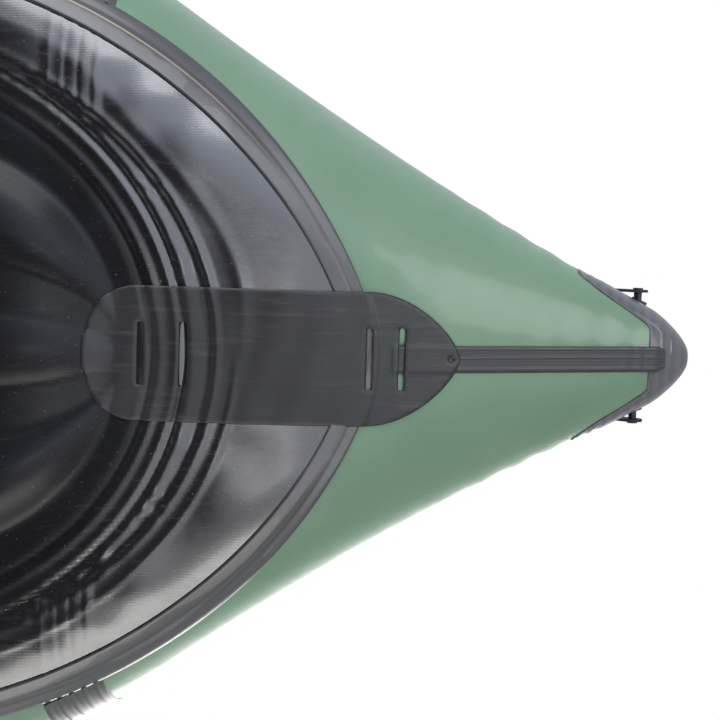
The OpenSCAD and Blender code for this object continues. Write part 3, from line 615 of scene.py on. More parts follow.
# A square pale floor at the lowest line, clear to a camera under it
def makeFloor():
    half = studio["floorSize"] / 2
    floorZ = cadBox[0][2]
    corners = np.array([(-half, -half, floorZ), (half, -half, floorZ), (half, half, floorZ),
                        (-half, half, floorZ)])
    floor = makeObject("stageFloor", corners, [(0, 1, 2, 3)])
    material, tree = newMaterial("paleFloor")
    colour = mixColour(tree, noise(tree, placed(tree), 3.0), srgb(226, 226, 224), srgb(234, 234, 232))
    pale = addNode(tree, "ShaderNodeBsdfPrincipled", {"Base Color": colour, "Roughness": 0.8})
    clear = addNode(tree, "ShaderNodeBsdfTransparent")
    front = addNode(tree, "ShaderNodeMath",
                    {0: 1.0, 1: addNode(tree, "ShaderNodeNewGeometry").outputs["Backfacing"]},
                    operation="SUBTRACT").outputs[0]
    shown = addNode(tree, "ShaderNodeMath",
                    {0: addNode(tree, "ShaderNodeLightPath").outputs["Is Camera Ray"], 1: front},
                    operation="MULTIPLY").outputs[0]
    mix = addNode(tree, "ShaderNodeMixShader", {0: shown, 1: clear.outputs[0], 2: pale.outputs[0]})
    out = addNode(tree, "ShaderNodeOutputMaterial")
    tree.links.new(mix.outputs[0], out.inputs["Surface"])
    floor.data.materials.append(material)


# A rectangular lamp turned from its place towards its aim
def softLight(name, place, aim, size, power, colour=(1, 1, 1)):
    data = bpy.data.lights.new(name, "AREA")
    data.shape = "RECTANGLE"
    data.size, data.size_y = size
    data.energy = power
    data.color = colour
    lamp = bpy.data.objects.new(name, data)
    lamp.location = place
    lamp.rotation_euler = (Vector(aim) - Vector(place)).to_track_quat("-Z", "Y").to_euler()
    bpy.context.collection.objects.link(lamp)


makeWorld()
makeFloor()
softLight("keyAbove", (-1.5, -2.6, 3.4), (0, 0, 0.2), (2.4, 2.4), 170, (1.0, 0.98, 0.95))
softLight("fillAbove", (2.4, 2.8, 3.0), (0, 0, 0.2), (3.0, 3.0), 90, (0.92, 0.96, 1.0))
softLight("portBelow", (-1.3, 2.3, -0.9), (-1.2, 0.2, 0.1), (2.2, 1.6), 44, (0.94, 0.96, 1.0))
softLight("starboardBelow", (-1.5, -2.0, -1.1), (-1.3, -0.2, 0.1), (1.8, 1.2), 22, (1.0, 0.98, 0.94))
softLight("sternBelow", (-3.1, 0.5, -0.6), (-1.6, 0, 0.2), (0.9, 0.9), 10)
bpy.context.scene.view_settings.view_transform = "Standard"
print("camera and studio set")

# Side tubes
sideTube = {
    "rows": 330,
    "columns": 112,
    "endInset": 0.003,
    "wellRadius": 0.0158,
    "wellDepth": 0.045,
    "wellWall": 0.0012,
    "valveSpread": 0.034,
    "ripple": 0.0006,
}


# Adds closely spaced values round one place to a row of evenly spaced ones.
def denseAround(values, middle, spread, step):
    near = np.arange(middle - spread, middle + spread, step)
    kept = values[np.abs(values - middle) > spread + step / 2]
    return np.sort(np.concatenate([kept, near]))


# Sections of the tube from end to end, with small tucks near the noses and a well for the valve
def sideTubeMesh(side, name):
    q = sideTube
    # the valve's flange is round, so the middle of its box is the middle of the well
    wellX = float(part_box("valve_plunger_port")[0][0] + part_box("valve_plunger_port")[1][0]) / 2
    wellY = abs(float(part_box("valve_plunger_port")[0][1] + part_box("valve_plunger_port")[1][1])) / 2
    reach = hullHalf - q["endInset"]
    xs = reach * np.sin(np.linspace(-1, 1, q["rows"]) * math.pi / 2)
    xs = denseAround(xs, wellX, q["valveSpread"], 0.0024)
    spread = q["valveSpread"] / tubeRadius
    angles = np.linspace(0, 2 * math.pi, q["columns"], endpoint=False)
    angles = denseAround(angles, math.pi, spread, 0.0024 / tubeRadius)
    points = tubePoint(xs[:, None], angles[None, :])
    s = noseDistance(xs)[:, None]
    # faint tucks across the tube near the noses, where the panels are eased in
    tuck = ease((0.42 - s) / 0.25) * ease(s / 0.06) * q["ripple"]
    wave = np.sin(s * 190 + 1.5 * np.sin(angles * 2)) * (0.6 + 0.4 * np.sin(angles * 3 + s * 21))
    normal = np.stack(np.broadcast_arrays(0 * s, np.sin(angles), -np.cos(angles)), -1)
    points = points + normal * (tuck * wave)[..., None]
    away = np.hypot(points[..., 0] - wellX, points[..., 1] - wellY)
    sink = (points[..., 2] > axisHeight(s)) * ease((q["wellRadius"] + q["wellWall"] - away) / q["wellWall"])
    points[..., 2] -= sink * q["wellDepth"]
    points = mirrored(points, side=side)
    uv = np.stack(np.broadcast_arrays(xs[:, None], angles * tubeRadius), -1).reshape(-1, 2)
    return tube(name, points, uv)


for side, word in ((port, "port"), (starboard, "starboard")):
    piece = sideTubeMesh(side, "side_tube_skin_" + word)
    finishPiece(piece, "hull", paint["tube"], ["side_tube_" + word])
print("side tubes done")

# Bottom skin
skin = {
    "clear": 0.048,
    "inset": 0.289,
    "round": 0.5,
    "thickness": 0.0012,
    "gap": 0.0003,
    "slack": 0.0025,
    "hug": 0.0011,
    "tapeWidth": 0.025,
    "tapeThickness": 0.0008,
    "weldInset": 0.462,
    "weldRound": 0.35,
    "weldWidth": 0.29,
    "ridgeInset": 0.432,
    "ridgeRound": 0.38,
    "ridgeWidth": 0.30,
    "edgeRound": 2.05,
    "edgeFlat": 0.645,
    "tapeBite": 0.0013,
    "blend": 0.012,
    "spanLift": 0.005,
    "rows": (135, 76, 26),
    "columns": 171,
    "closeOver": 0.46,
    "closing": 1.25,
}
# ridges and grooves beside the weld: distance from it, width, height
weldLines = ((0.0, 0.0022, -0.0030), (-0.006, 0.004, 0.0014), (0.008, 0.005, 0.0012),
             (-0.030, 0.0035, -0.0022), (-0.022, 0.005, 0.0012))
# a joint tape's ribs as they show through the skin
jointRibs = {"from": 0.546, "pitch": 0.0105, "width": 0.0028, "count": 5, "height": 0.0010, "out": 0.20}

floorChamber = {
    "thickness": 0.096,
    "tuck": 0.016,
    "inset": 0.545,
    "round": 0.21,
    "lobePitch": 0.65,
    "lobeHalf": 0.35,
    "lead": 0.026,
    "span": 0.82,
    "endSteep": 1.6,
    "rockerShare": 0.8,
}
floorHalf = beamHalf - hull["tubeDiameter"] + floorChamber["tuck"]
skinHalf = beamHalf - skin["clear"]


# 0 at the floor's end, 1 where its rounding ends
def floorShare(s):
    return np.clip((s - floorChamber["inset"]) / floorChamber["round"], 0, 1)


# Half the floor's width: a quarter ellipse at its end
def floorWidth(s):
    return floorHalf * np.sqrt(1 - (1 - floorShare(s)) ** 2)


# Half the floor's thickness: a steeper quarter ellipse at its end
def floorHeight(s):
    share = np.minimum(floorShare(s) * floorChamber["endSteep"], 1)
    return floorChamber["thickness"] / 2 * np.sqrt(1 - (1 - share) ** 2)


# Height of the floor's middle: over the skin, half its thickness, and a share of the rocker
def floorMiddle(s):
    lowest = skin["thickness"] + skin["gap"] + skin["slack"]
    return lowest + floorChamber["thickness"] / 2 + floorChamber["rockerShare"] * rocker(s)


def lobeLow(y, width):  # depth of the lobes at y, each a half circle
    pitch = floorChamber["lobePitch"] * np.maximum(width, 1e-4)
    i = np.clip(np.round(y / pitch), -1, 1)
    d = (y - i * pitch) / (floorChamber["lobeHalf"] * np.maximum(width, 1e-4))
    return np.sqrt(np.maximum(1 - d * d, 0))


# The floor's underside: its lobes hang below its middle, bridged between their crests
def floorUnder(s, y):
    width = floorWidth(s + floorChamber["lead"])
    low = lobeLow(y, width)
    low = np.where(np.abs(y) < floorChamber["lobePitch"] * width, np.maximum(low, floorChamber["span"]),
                   low)
    z = floorMiddle(s) - floorHeight(s + floorChamber["lead"]) * low
    return np.where((width < 0.001) | (np.abs(y) >= width), 1.0, z)


# Distance outside an oval that starts inset from the nose end and becomes two lines, width out from
# the keel.
def ringDistance(s, y, inset, length, width):
    u = np.maximum(inset + length - s, 0) / length
    v = y / width
    q = np.sqrt(u * u + v * v) + 1e-9
    slope = np.sqrt((u / length) ** 2 + (v / width) ** 2) / q
    return (q - 1) / np.maximum(slope, 0.5)


def hump(d, at, width):  # a rounded ridge of height 1
    return np.exp(-((d - at) / width) ** 2)


# How far the skin stands out: the weld round the floor chamber, folds outside it, crinkles and soft
# waves.
def skinRelief(s, y):
    weld = ringDistance(s, y, skin["weldInset"], skin["weldRound"], skin["weldWidth"])
    fold = ringDistance(s, y, skin["ridgeInset"], skin["ridgeRound"], skin["ridgeWidth"])
    turn = np.arctan2(y, np.maximum(skin["weldInset"] + skin["weldRound"] - s, 0) + 0.02)
    lower = ease((-y + 0.02) / 0.08)
    upper = 1 - lower
    out = sum(high * hump(weld, at, wide) for at, wide, high in weldLines)
    # the fold's crest, the groove inside it, then a second crest: sharp to starboard, soft and
    # wavering to port
    out += (0.0018 * upper + 0.0012 * lower) * hump(fold, 0.0, 0.0035)
    out -= 0.0014 * hump(fold, -0.008, 0.005)
    out += 0.0012 * lower * hump(fold, 0.017, 0.003)
    out += 0.0007 * upper * hump(fold, 0.022 + 0.006 * np.sin(turn * 9), 0.006)
    # crinkles between the weld and the fold, pulled across the band
    band = ease((weld - 0.002) / 0.01) * ease((0.004 - fold) / 0.012)
    pleat = np.sin(turn * 88 + 2.2 * np.sin(turn * 17) + 90 * weld) * (0.5 + 0.5 * np.sin(turn * 31 + 1.1))
    pleat = pleat * hump(np.abs(turn), 0.75, 0.45)
    out += band * 0.0017 * np.clip(pleat, -0.35, 1)
    # folds fan out beyond the ridge and die away towards the tape
    fan = ease((fold - 0.004) / 0.03) * ease((0.10 - fold) / 0.07)
    ripple = np.sin(turn * 34 + 1.7 * np.sin(turn * 9 + 0.6) + 14 * fold)
    out += fan * 0.0010 * ripple * hump(np.abs(turn), 0.55, 0.4)
    # the two tubes under the skin show as long soft swells
    out += 0.0009 * np.sin(s * 23 + 3 * y) * np.sin(y * 31) * ease((s - 0.3) / 0.1)
    # a tube's joint tape shows through
    outboard = ease((np.abs(y) - jointRibs["out"]) / 0.03)
    places = jointRibs["from"] + jointRibs["pitch"] * np.arange(jointRibs["count"])
    ribs = sum(hump(s, at, jointRibs["width"]) for at in places)
    out += jointRibs["height"] * outboard * ribs
    return out * ease((skinEdge(s, 0.0) - np.abs(y)) / 0.02)


def skinEdge(s, e):  # half width of the skin's outline, taken in by e
    d = np.clip((s - skin["inset"] - e) / skin["round"], 0, 1)
    return (skinHalf - e) * (1 - (1 - d) ** skin["edgeRound"]) ** skin["edgeFlat"]


# The skin's outer face: it hangs from the tubes' undersides and the floor's lobes, rounded where
# they meet.
def skinUnder(s, y, relief=True):
    between = np.abs(y) < tubeMiddle(s)
    lift = skin["spanLift"] * ease((s - 0.4) / 0.2) * ease((tubeMiddle(s) - np.abs(y)) / 0.04)
    tubes = tubeUnder(s, y) + np.where(between, lift, 0)
    z = softMin(tubes - skin["tapeBite"], floorUnder(s, y) - skin["slack"], skin["blend"])
    z = z - skin["gap"] - skin["thickness"]
    if relief:
        clear = np.minimum(tubes, floorUnder(s, y)) - skin["hug"]
        z = np.minimum(z - skinRelief(s, y), clear)
    return z


# Rows of the skin from stern to bow: close together where the skin ends, wide apart amidships.
def skinRows():
    edge = skin["inset"] + skin["tapeWidth"] / 2 + 0.0015
    sternCount, bowCount, middleCount = skin["rows"]
    close = edge + skin["closeOver"] * (np.linspace(0, 1, sternCount) ** skin["closing"])
    middle = np.linspace(close[-1] + 0.012, hullHalf, middleCount)
    near = np.concatenate([close, middle])
    bowRows = edge + skin["closeOver"] * (np.linspace(0, 1, bowCount) ** skin["closing"])
    bowRows = np.concatenate([bowRows, middle[:-1]])
    return np.concatenate([near - hullHalf, (hullHalf - bowRows)[::-1]])


# Rows across the hull, each from edge to edge, as a thin closed sheet
def bottomSkin():
    xs = skinRows()
    s = noseDistance(xs)[:, None]
    v = np.linspace(-1, 1, skin["columns"])[None, :]
    y = v * skinEdge(s, skin["tapeWidth"] / 2)
    z = np.maximum(skinUnder(s, y), cadBox[0][2] - 0.0015)
    outer = np.stack(np.broadcast_arrays(xs[:, None], y, z), -1)
    inner = outer + np.array([0, 0, skin["hug"] - 0.0001])
    fromWeld = ringDistance(s, y, skin["weldInset"], skin["weldRound"], skin["weldWidth"])
    uv = np.stack(np.broadcast_arrays(fromWeld, xs[:, None]), -1)
    return shell("bottom_skin_sheet", outer, inner, uv)


piece = bottomSkin()
finishPiece(piece, "hull", paint["skin"], ["bottom_skin"])


# A closed band round the skin's outline: across, 0 is its outer edge; it lies half on the skin,
# half on the tubes.
def edgeTape():
    steps = 1100
    width = skin["tapeWidth"]
    t = np.linspace(0, 2 * math.pi, steps, endpoint=False) + 0.001
    t = t - 0.32 * np.sin(2 * t)
    across = np.array([0.0002, 0.003, 0.0065, 0.0095, 0.0105, 0.0122, 0.0155, 0.0185, 0.0212, 0.0222,
                       0.0248])
    e = across[None, :]
    reach = hullHalf - skin["inset"] - e
    x = reach * np.cos(t)[:, None]
    y = np.sign(np.sin(t))[:, None] * skinEdge(hullHalf - np.abs(x), e)
    s = noseDistance(x)
    onTube = tubeUnder(s, y) - skin["tapeBite"]
    onSkin = skinUnder(s, y)
    share = ease((e - 0.0095) / 0.0030)
    z = onTube * (1 - share) + onSkin * share - 0.0004
    lift = skin["tapeThickness"] * (0.55 + 0.45 * ease(np.minimum(e, width - e) / 0.0012)) + 0.0004 * share
    outer = np.stack([x, y, z - lift], -1)
    inner = np.stack([x, y, z], -1)[:, ::-1]
    rings = np.concatenate([outer, inner], 1)
    uv = np.concatenate([np.broadcast_to(e, x.shape), np.broadcast_to(e[:, ::-1], x.shape)], 1)
    along = np.broadcast_to(np.linspace(0, 7.5, steps)[:, None], uv.shape)
    return tube("skin_edge_tape_band", rings, np.stack([uv, along], -1).reshape(-1, 2), ring=True)


finishPiece(edgeTape(), "hull", paint["tape"], ["skin_edge_tape"])
print("bottom skin and its tape done")

# Skeg patch
patch = {
    "width": 0.123,
    "inset": 0.217,
    "length": 0.334,
    "neck": 0.080,
    "corner": 0.045,
    "thickness": 0.0016,
    "slotLength": 0.058,
    "slotWidth": 0.005,
    "slots": (0.052, 0.080, 0.246, 0.285),
    "holeAt": 0.008,
    "holeRadius": 0.0025,
    "cell": 0.0015,
}


# Half the patch's width: a blunt point, then straight, then two round corners
def patchHalf(d):
    r, corner = patch["width"] / 2, patch["corner"]
    neck = 1 - (1 - np.clip(d / patch["neck"], 0, 1)) ** 1.8
    inEnd = np.clip(corner - (patch["length"] - d), 0, corner)
    return np.minimum(r * neck ** 0.7, r - corner + np.sqrt(corner * corner - inEnd * inEnd))


# Signed distance to the patch's cut edges, above 0 in the material: outline, slots with round ends,
# and hole.
def patchDistance(d, y):
    step = 0.0005
    slope = (patchHalf(d + step) - patchHalf(d - step)) / (2 * step)
    inside = (patchHalf(d) - np.abs(y)) / np.sqrt(1 + slope * slope)
    inside = np.minimum(inside, np.minimum(d, patch["length"] - d) + 0.002)
    straight = (patch["slotLength"] - patch["slotWidth"]) / 2
    for at in patch["slots"]:
        beyond = np.maximum(np.abs(y) - straight, 0)
        inside = np.minimum(inside, np.hypot(d - at, beyond) - patch["slotWidth"] / 2)
    return np.minimum(inside, np.hypot(d - patch["holeAt"], y) - patch["holeRadius"])


# What the patch lies on: the tubes and keel strip near its point, then the tape and the skin.
def patchUnder(s, y):
    overStrip = 0.0011 * ease((0.0145 - np.abs(y)) / 0.004) * ease((0.279 - s) / 0.004)
    tubes = tubeUnder(s, y) - 0.0004 - overStrip
    onTape = tubeUnder(s, y) - skin["tapeBite"] - 0.0009 - skin["tapeThickness"]
    behind = ease((s - skin["inset"] + 0.003 - 0.17 * y * y / 0.06) / 0.006)
    skinZ = skinUnder(s, y) - 0.0004
    deeper = ease((s - skin["inset"] - skin["tapeWidth"] + 0.001) / 0.006)
    return tubes * (1 - behind) + behind * (onTape * (1 - deeper) + skinZ * deeper)


# A grid of small cells, less those in the slots and hole; the points along a cut are then pulled
# onto it.
def skegPatch():
    cell = patch["cell"]
    rows = int(patch["length"] / cell) + 3
    columns = int(patch["width"] / cell) + 3
    d = (np.arange(rows) - 1)[:, None] * patch["length"] / (rows - 3)
    y = (np.arange(columns) - (columns - 1) / 2)[None, :] * patch["width"] / (columns - 3)
    d, y = (a.ravel() for a in np.broadcast_arrays(d, y))
    faces = gridFaces(rows, columns)
    middleD, middleY = d[faces].mean(1), y[faces].mean(1)
    faces = faces[patchDistance(middleD, middleY) > 0]
    edges = np.sort(np.concatenate([faces[:, [k, (k + 1) % 4]] for k in range(4)]), 1)
    found, times = np.unique(edges, axis=0, return_counts=True)
    onCut = np.unique(found[times == 1])
    step = 1e-5
    for _ in range(4):
        value = patchDistance(d[onCut], y[onCut])
        gd = (patchDistance(d[onCut] + step, y[onCut]) - value) / step
        gy = (patchDistance(d[onCut], y[onCut] + step) - value) / step
        size = np.maximum(gd * gd + gy * gy, 0.25)
        d[onCut] -= value * gd / size
        y[onCut] -= value * gy / size
    used, faces = np.unique(faces, return_inverse=True)
    faces = faces.reshape(-1, 4)
    d, y = d[used], y[used]
    s = patch["inset"] + np.clip(d, 0, None)
    z = patchUnder(s, y) - patch["thickness"]
    edge = np.clip(patchDistance(d, y), 0, 0.003)
    z += 0.0005 * (1 - ease(edge / 0.0022)) - 0.0004 * hump(edge, 0.003, 0.0009)
    z -= 0.0005 * np.sin(s * 40 + 1) * np.sin(y * 33) + 0.0003 * np.sin(s * 150 + 40 * y)
    made = makeObject("skeg_patch_sheet", np.stack([s - hullHalf, y, z], -1), faces)
    made.data.update()
    if made.data.polygons[len(faces) // 2].normal.z > 0:
        made.data.flip_normals()
    wall = made.modifiers.new("wall", "SOLIDIFY")
    wall.thickness = patch["thickness"]
    wall.offset = -1
    return made


finishPiece(skegPatch(), "hull", paint["patch"], ["skeg_patch"])
print("skeg patch done")

# Keel strips, nose caps and joint tapes
strip = {"width": 0.025, "inset": 0.024, "lap": 0.06, "thickness": 0.0012}
cap = {"low": 0.04, "high": 0.112, "gap": 0.0009, "thickness": 0.0016, "rows": 70, "columns": 72}


# A thin band along the keel line, proud of the tubes, narrowed at its nose end
def keelStrip(name, end, last):
    s = np.concatenate([np.linspace(strip["inset"], 0.07, 40), np.linspace(0.0712, last, 150)])[:, None]
    v = np.linspace(-1, 1, 25)[None, :]
    y = v * strip["width"] / 2 * (1 - 0.25 * ease((strip["inset"] + 0.010 - s) / 0.010) ** 2)
    base = tubeUnder(s, y) - 0.0005
    base = base - (cap["gap"] + cap["thickness"]) * ease((cap["low"] + 0.010 - s) / 0.008)
    crease = 0.0005 * hump(v, -0.72, 0.06) + 0.0003 * hump(v, 0.12 + 0.05 * np.sin(s * 16), 0.05)
    crease = crease + 0.0003 * hump(v, 0.78, 0.05)
    pinch = 0.0003 * np.sin(s * 420) * ease((0.09 - s) / 0.04)
    z = base - strip["thickness"] * (0.45 + 0.55 * ease((1 - np.abs(v)) / 0.08)) - crease - pinch
    x = hullHalf - s + 0 * v
    outer = mirrored(np.stack(np.broadcast_arrays(x, y, z), -1), end)
    inner = mirrored(np.stack(np.broadcast_arrays(x, y, base + 0.0002), -1), end)
    return shell(name, outer, inner)


for end, word, last in ((stern, "stern", patch["inset"] + strip["lap"]),
                        (bow, "bow", skin["inset"] - 0.001)):
    piece = keelStrip(f"keel_strip_{word}_band", end, last)
    finishPiece(piece, "hull", paint["strip"], ["keel_strip_" + word])


def noseRing(s, a, side, off):  # half an ellipse round one tube's outside, at a from the underside
    return np.stack(np.broadcast_arrays(
        hullHalf - s, side * (tubeMiddle(s) + (tubeWidth(s) + off) * np.sin(a)),
        axisHeight(s) - (tubeHeight(s) + off) * np.cos(a)), -1)


# A cup over the nose: rings from the tip to an edge that runs further back towards the deck, two
# layers stepped.
def noseCap(name, end):
    half = cap["columns"] // 2
    a = np.linspace(0, math.pi, half)
    edge = cap["low"] + (cap["high"] - cap["low"]) * ease((np.degrees(a) - 35) / 40)
    q = np.linspace(0, 1, cap["rows"])[:, None]

    # One face of the cap, off clear of the nose
    def sheet(tipS, off):
        s = tipS + (edge[None, :] - tipS) * q * q
        # two tape edges show as steps parallel to the rim
        back = (edge[None, :] - s)
        layer = 0.0007 * ease((back - 0.011) / 0.0012) + 0.0007 * ease((back - 0.021) / 0.0012)
        pucker = 0.0003 * np.sin(a[None, :] * 26) * ease((0.03 - s) / 0.02)
        thick = off + (layer + pucker if off > cap["gap"] else 0)
        first = noseRing(s, a[None, :], 1, thick)
        second = noseRing(s, a[None, :], -1, thick)[:, ::-1]
        return np.concatenate([first, second], 1)
    outer = sheet(0.0, cap["gap"] + cap["thickness"] - 0.0014)
    inner = sheet(0.0022, cap["gap"])[::-1]
    rings = mirrored(np.concatenate([outer, inner]), end)
    return tube(name, rings)


for end, word in ((stern, "stern"), (bow, "bow")):
    finishPiece(noseCap(word + "_cap_shell", end), "hull", paint["cap"], [word + "_cap"])


jointTape = {"inset": 0.54, "width": 0.056, "from": 42.0, "to": 154.0, "ridges": 5}


# Bands round the tubes with five raised ribs, each band a thin closed strip.
def jointTapes():
    rows, columns = 110, 44
    a = np.radians(np.linspace(jointTape["from"], jointTape["to"], rows))[:, None]
    w = np.linspace(0, 1, columns)[None, :]
    s = jointTape["inset"] + jointTape["width"] * w
    x = hullHalf - s
    rib = sum(hump(w, (k + 0.6) / jointTape["ridges"], 0.035) for k in range(jointTape["ridges"]))
    lift = 0.0007 + 0.0008 * ease(np.minimum(w, 1 - w) / 0.03) + 0.0007 * rib
    verts, faces, coords, first = [], [], [], 0
    for end in (bow, stern):
        for side in (port, starboard):
            outer = mirrored(tubePoint(x + 0 * a, a + 0 * x, lift), end, side).reshape(-1, 3)
            inner = mirrored(tubePoint(x + 0 * a, a + 0 * x, 0.0004), end, side).reshape(-1, 3)
            n = len(outer)
            quads = gridFaces(rows, columns)
            index = np.arange(n).reshape(rows, columns)
            rim = np.concatenate([index[0, :-1], index[:-1, -1], index[-1, :0:-1], index[:0:-1, 0]])
            after = np.roll(rim, -1)
            block = np.concatenate([quads, quads[:, ::-1] + n,
                                    np.stack([rim, rim + n, after + n, after], -1)])
            if end * side > 0:
                block = block[:, ::-1]
            verts += [outer, inner]
            faces.append(block + first)
            uv = np.stack(np.broadcast_arrays(s, a * tubeRadius), -1).reshape(-1, 2)
            coords += [uv, uv]
            first += 2 * n
    return faceOut(makeObject("tube_joint_bands", np.concatenate(verts), np.concatenate(faces),
                              np.concatenate(coords)))


finishPiece(jointTapes(), "hull", paint["joint"], ["tube_joint_tapes"])
print("nose caps, strips and joint tapes done")

# Floor chamber: three lobes side by side
def floorMesh():
    steps = 34
    reachAngle = math.asin(floorChamber["lobePitch"] / 2 / floorChamber["lobeHalf"])
    pieces = []
    for i in (-1, 0, 1):
        first = -math.pi / 2 if i == -1 else -reachAngle
        last = math.pi / 2 if i == 1 else reachAngle
        a = np.linspace(first, last, steps, endpoint=False)
        pieces.append(np.stack([i * floorChamber["lobePitch"] + floorChamber["lobeHalf"] * np.sin(a),
                                np.cos(a)], -1))
    low = np.concatenate(pieces)
    wellX = float(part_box("valve_plunger_floor")[0][0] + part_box("valve_plunger_floor")[1][0]) / 2
    endX = hullHalf - floorChamber["inset"] - 0.004
    xs = endX * np.sin(np.linspace(-1, 1, 190) * math.pi / 2)
    xs = denseAround(xs, wellX, sideTube["valveSpread"], 0.0026)[:, None]
    s = noseDistance(xs)
    width, height, middle = floorWidth(s), floorHeight(s), floorMiddle(s)
    seam = 1 - 0.10 * hump(low[None, :, 1], 0.0, 0.5)
    tuck = 1 + 0.006 * np.sin(xs * 64) * np.sin(xs * 23 + low[None, :, 0] * 5)
    under = np.stack(np.broadcast_arrays(xs, width * low[None, :, 0],
                                         middle - height * low[None, :, 1] * tuck * seam), -1)
    over = np.stack(np.broadcast_arrays(xs, -width * low[None, :, 0],
                                        middle + height * low[None, :, 1] * tuck * seam), -1)
    rings = np.concatenate([under, over], 1)
    away = np.hypot(rings[..., 0] - wellX, rings[..., 1])
    sink = (rings[..., 2] > middle) * ease((sideTube["wellRadius"] + sideTube["wellWall"] - away)
                                           / sideTube["wellWall"])
    rings[..., 2] -= sink * sideTube["wellDepth"]
    return tube("floor_chamber_skin", rings)


floorNodes = sorted(name for name in nodes if name.startswith("floor_section_"))
finishPiece(floorMesh(), "hull", paint["floor"], floorNodes)

# Spray decks
deck = {"inset": 0.64, "bite": 0.13, "crown": 0.012, "thickness": 0.0012, "hem": 0.0035, "lift": 0.0011}


def deckHeight(s, y):  # over the tubes' tops, slightly crowned between them
    d = np.maximum(np.abs(y) - tubeMiddle(s), 0) / tubeWidth(s)
    tubeTop = axisHeight(s) + tubeHeight(s) * np.sqrt(np.clip(1 - d * d, 0, 1))
    crown = np.maximum(1 - (y / tubeMiddle(s)) ** 2, 0) * ease((s - 0.18) / 0.3)
    return tubeTop + deck["crown"] * crown


# A place on the deck: v runs from -1 to 1 across it
def deckPoint(s, v):
    y = v * (tubeMiddle(s) + 0.3 * tubeWidth(s))
    return y, deckHeight(s, y) + deck["lift"]


# Cloth stretched over both tubes from the cap to its curved free edge
def sprayDeck(name, end):
    v = np.linspace(-1, 1, 111)[None, :]
    first = cap["high"] + 0.002
    q = np.linspace(0, 1, 130)[:, None]
    s = first + (deck["inset"] - deck["bite"] * (1 - v * v) - first) * q
    y, z = deckPoint(s, v)
    fold = 0.0007 * np.sin(s * 55 + 6 * v) * np.sin(v * 9 + s * 12) * (1 - v * v)
    edge = np.minimum(1 - np.abs(v), (1 - q) * 2)
    top = z + deck["thickness"] + fold + 0.0006 * (1 - ease(edge / 0.05)) - 0.0005 * hump(edge, 0.055,
            0.006)
    outer = mirrored(np.stack(np.broadcast_arrays(hullHalf - s, y, top), -1), end)
    inner = mirrored(np.stack(np.broadcast_arrays(hullHalf - s, y, z), -1), end)
    return shell(name, outer, inner)


# A rolled hem along the deck's free edge: a small round cord carried along the edge curve.
def deckHem(name, end):
    v = np.linspace(-0.985, 0.985, 220)[:, None]
    s = deck["inset"] - deck["bite"] * (1 - v * v)
    y, z = deckPoint(s, v)
    k = np.linspace(0, 2 * math.pi, 14, endpoint=False)[None, :]
    r = deck["hem"] * (1 + 0.05 * np.sin(v * 160))
    points = np.stack(np.broadcast_arrays(hullHalf - s - r * np.cos(k), y,
                                          z + deck["thickness"] / 2 + r * np.sin(k) + 0.001), -1)
    return tube(name, mirrored(points, end))


for end, word in ((stern, "stern"), (bow, "bow")):
    finishPiece(sprayDeck(word + "_deck_cover", end), "hull", paint["deck"],
                [word + "_deck"])
    finishPiece(deckHem(word + "_deck_hem", end), "hull", paint["piping"])
print("floor chamber and spray decks done")

# Carry handles
grip = {"swell": 0.0012, "grooves": 9, "grooveDepth": 0.0009, "endRound": 0.004}


# A foam sleeve turned about its length: swollen in the middle, finger grooves, rounded ends, a bore
# for the webbing.
def handleGrip(name, node):
    low, high = (np.array(c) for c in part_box(node))
    middle, halfL = (low + high) / 2, (high[1] - low[1]) / 2
    radius = (high[2] - low[2]) / 2
    t = np.linspace(-1, 1, 150)
    groove = grip["grooveDepth"] * (0.5 + 0.5 * np.cos(t * grip["grooves"] * math.pi)) ** 3
    r = radius - 0.0010 + grip["swell"] * (1 - t * t) - groove
    endIn = np.clip(1 - (1 - np.abs(t)) * halfL / grip["endRound"], 0, 1)
    r = r - grip["endRound"] * (1 - np.sqrt(1 - endIn ** 2)) * 0.8
    bore = radius / 2 + 0.0003
    profileY = np.concatenate([t * halfL, [halfL, -halfL]])
    profileR = np.concatenate([r, [bore, bore]])
    k = np.linspace(0, 2 * math.pi, 48, endpoint=False)[None, :]
    y, rr = profileY[:, None], profileR[:, None]
    points = np.stack(np.broadcast_arrays(middle[0] + rr * np.cos(k), middle[1] + y,
                                          middle[2] + rr * np.sin(k)), -1)
    return tube(name, points, ring=True)


for word in ("stern", "bow"):
    finishPiece(handleGrip(word + "_handle_grip_foam", word + "_handle_grip"), word + "_handle",
                paint["grip"],
                [word + "_handle_grip"])

# Seats
cushion = {
    "corner": 8,
    "crown": 6,
    "start": 0.90,
    "voxel": 0.0065,
    "pressure": 4.0,
    "cap": 0.012,
    "frames": 20,
    "fit": 0.985,
    "channelDepth": 0.006,
    "channelWidth": 0.006,
    "piping": 0.0042,
}


# A pillow: a square grid drawn onto a rounded rectangle, its two faces meeting in a seam round the
# middle.
def padShape(name, half, height, steps=46):
    u = np.linspace(-1, 1, steps)[:, None]
    v = np.linspace(-1, 1, steps)[None, :]
    reach = np.maximum(np.abs(u), np.abs(v))
    n = cushion["corner"]
    norm = (np.abs(u) ** n + np.abs(v) ** n) ** (1 / n)
    f = reach / np.maximum(norm, 1e-9)
    rise = height * (1 - np.clip(reach, 0, 1) ** cushion["crown"]) ** 0.5
    x, y = half[0] * u * f, half[1] * v * f
    outer = np.stack(np.broadcast_arrays(x, y, rise + 0.0004), -1)
    inner = np.stack(np.broadcast_arrays(x, y, -rise - 0.0004), -1)
    return shell(name, outer, inner)


# A mesh's vertices as rows of three
def meshPoints(piece):
    co = np.empty(len(piece.data.vertices) * 3, np.float32)
    piece.data.vertices.foreach_get("co", co)
    return co.reshape(-1, 3).astype(float)


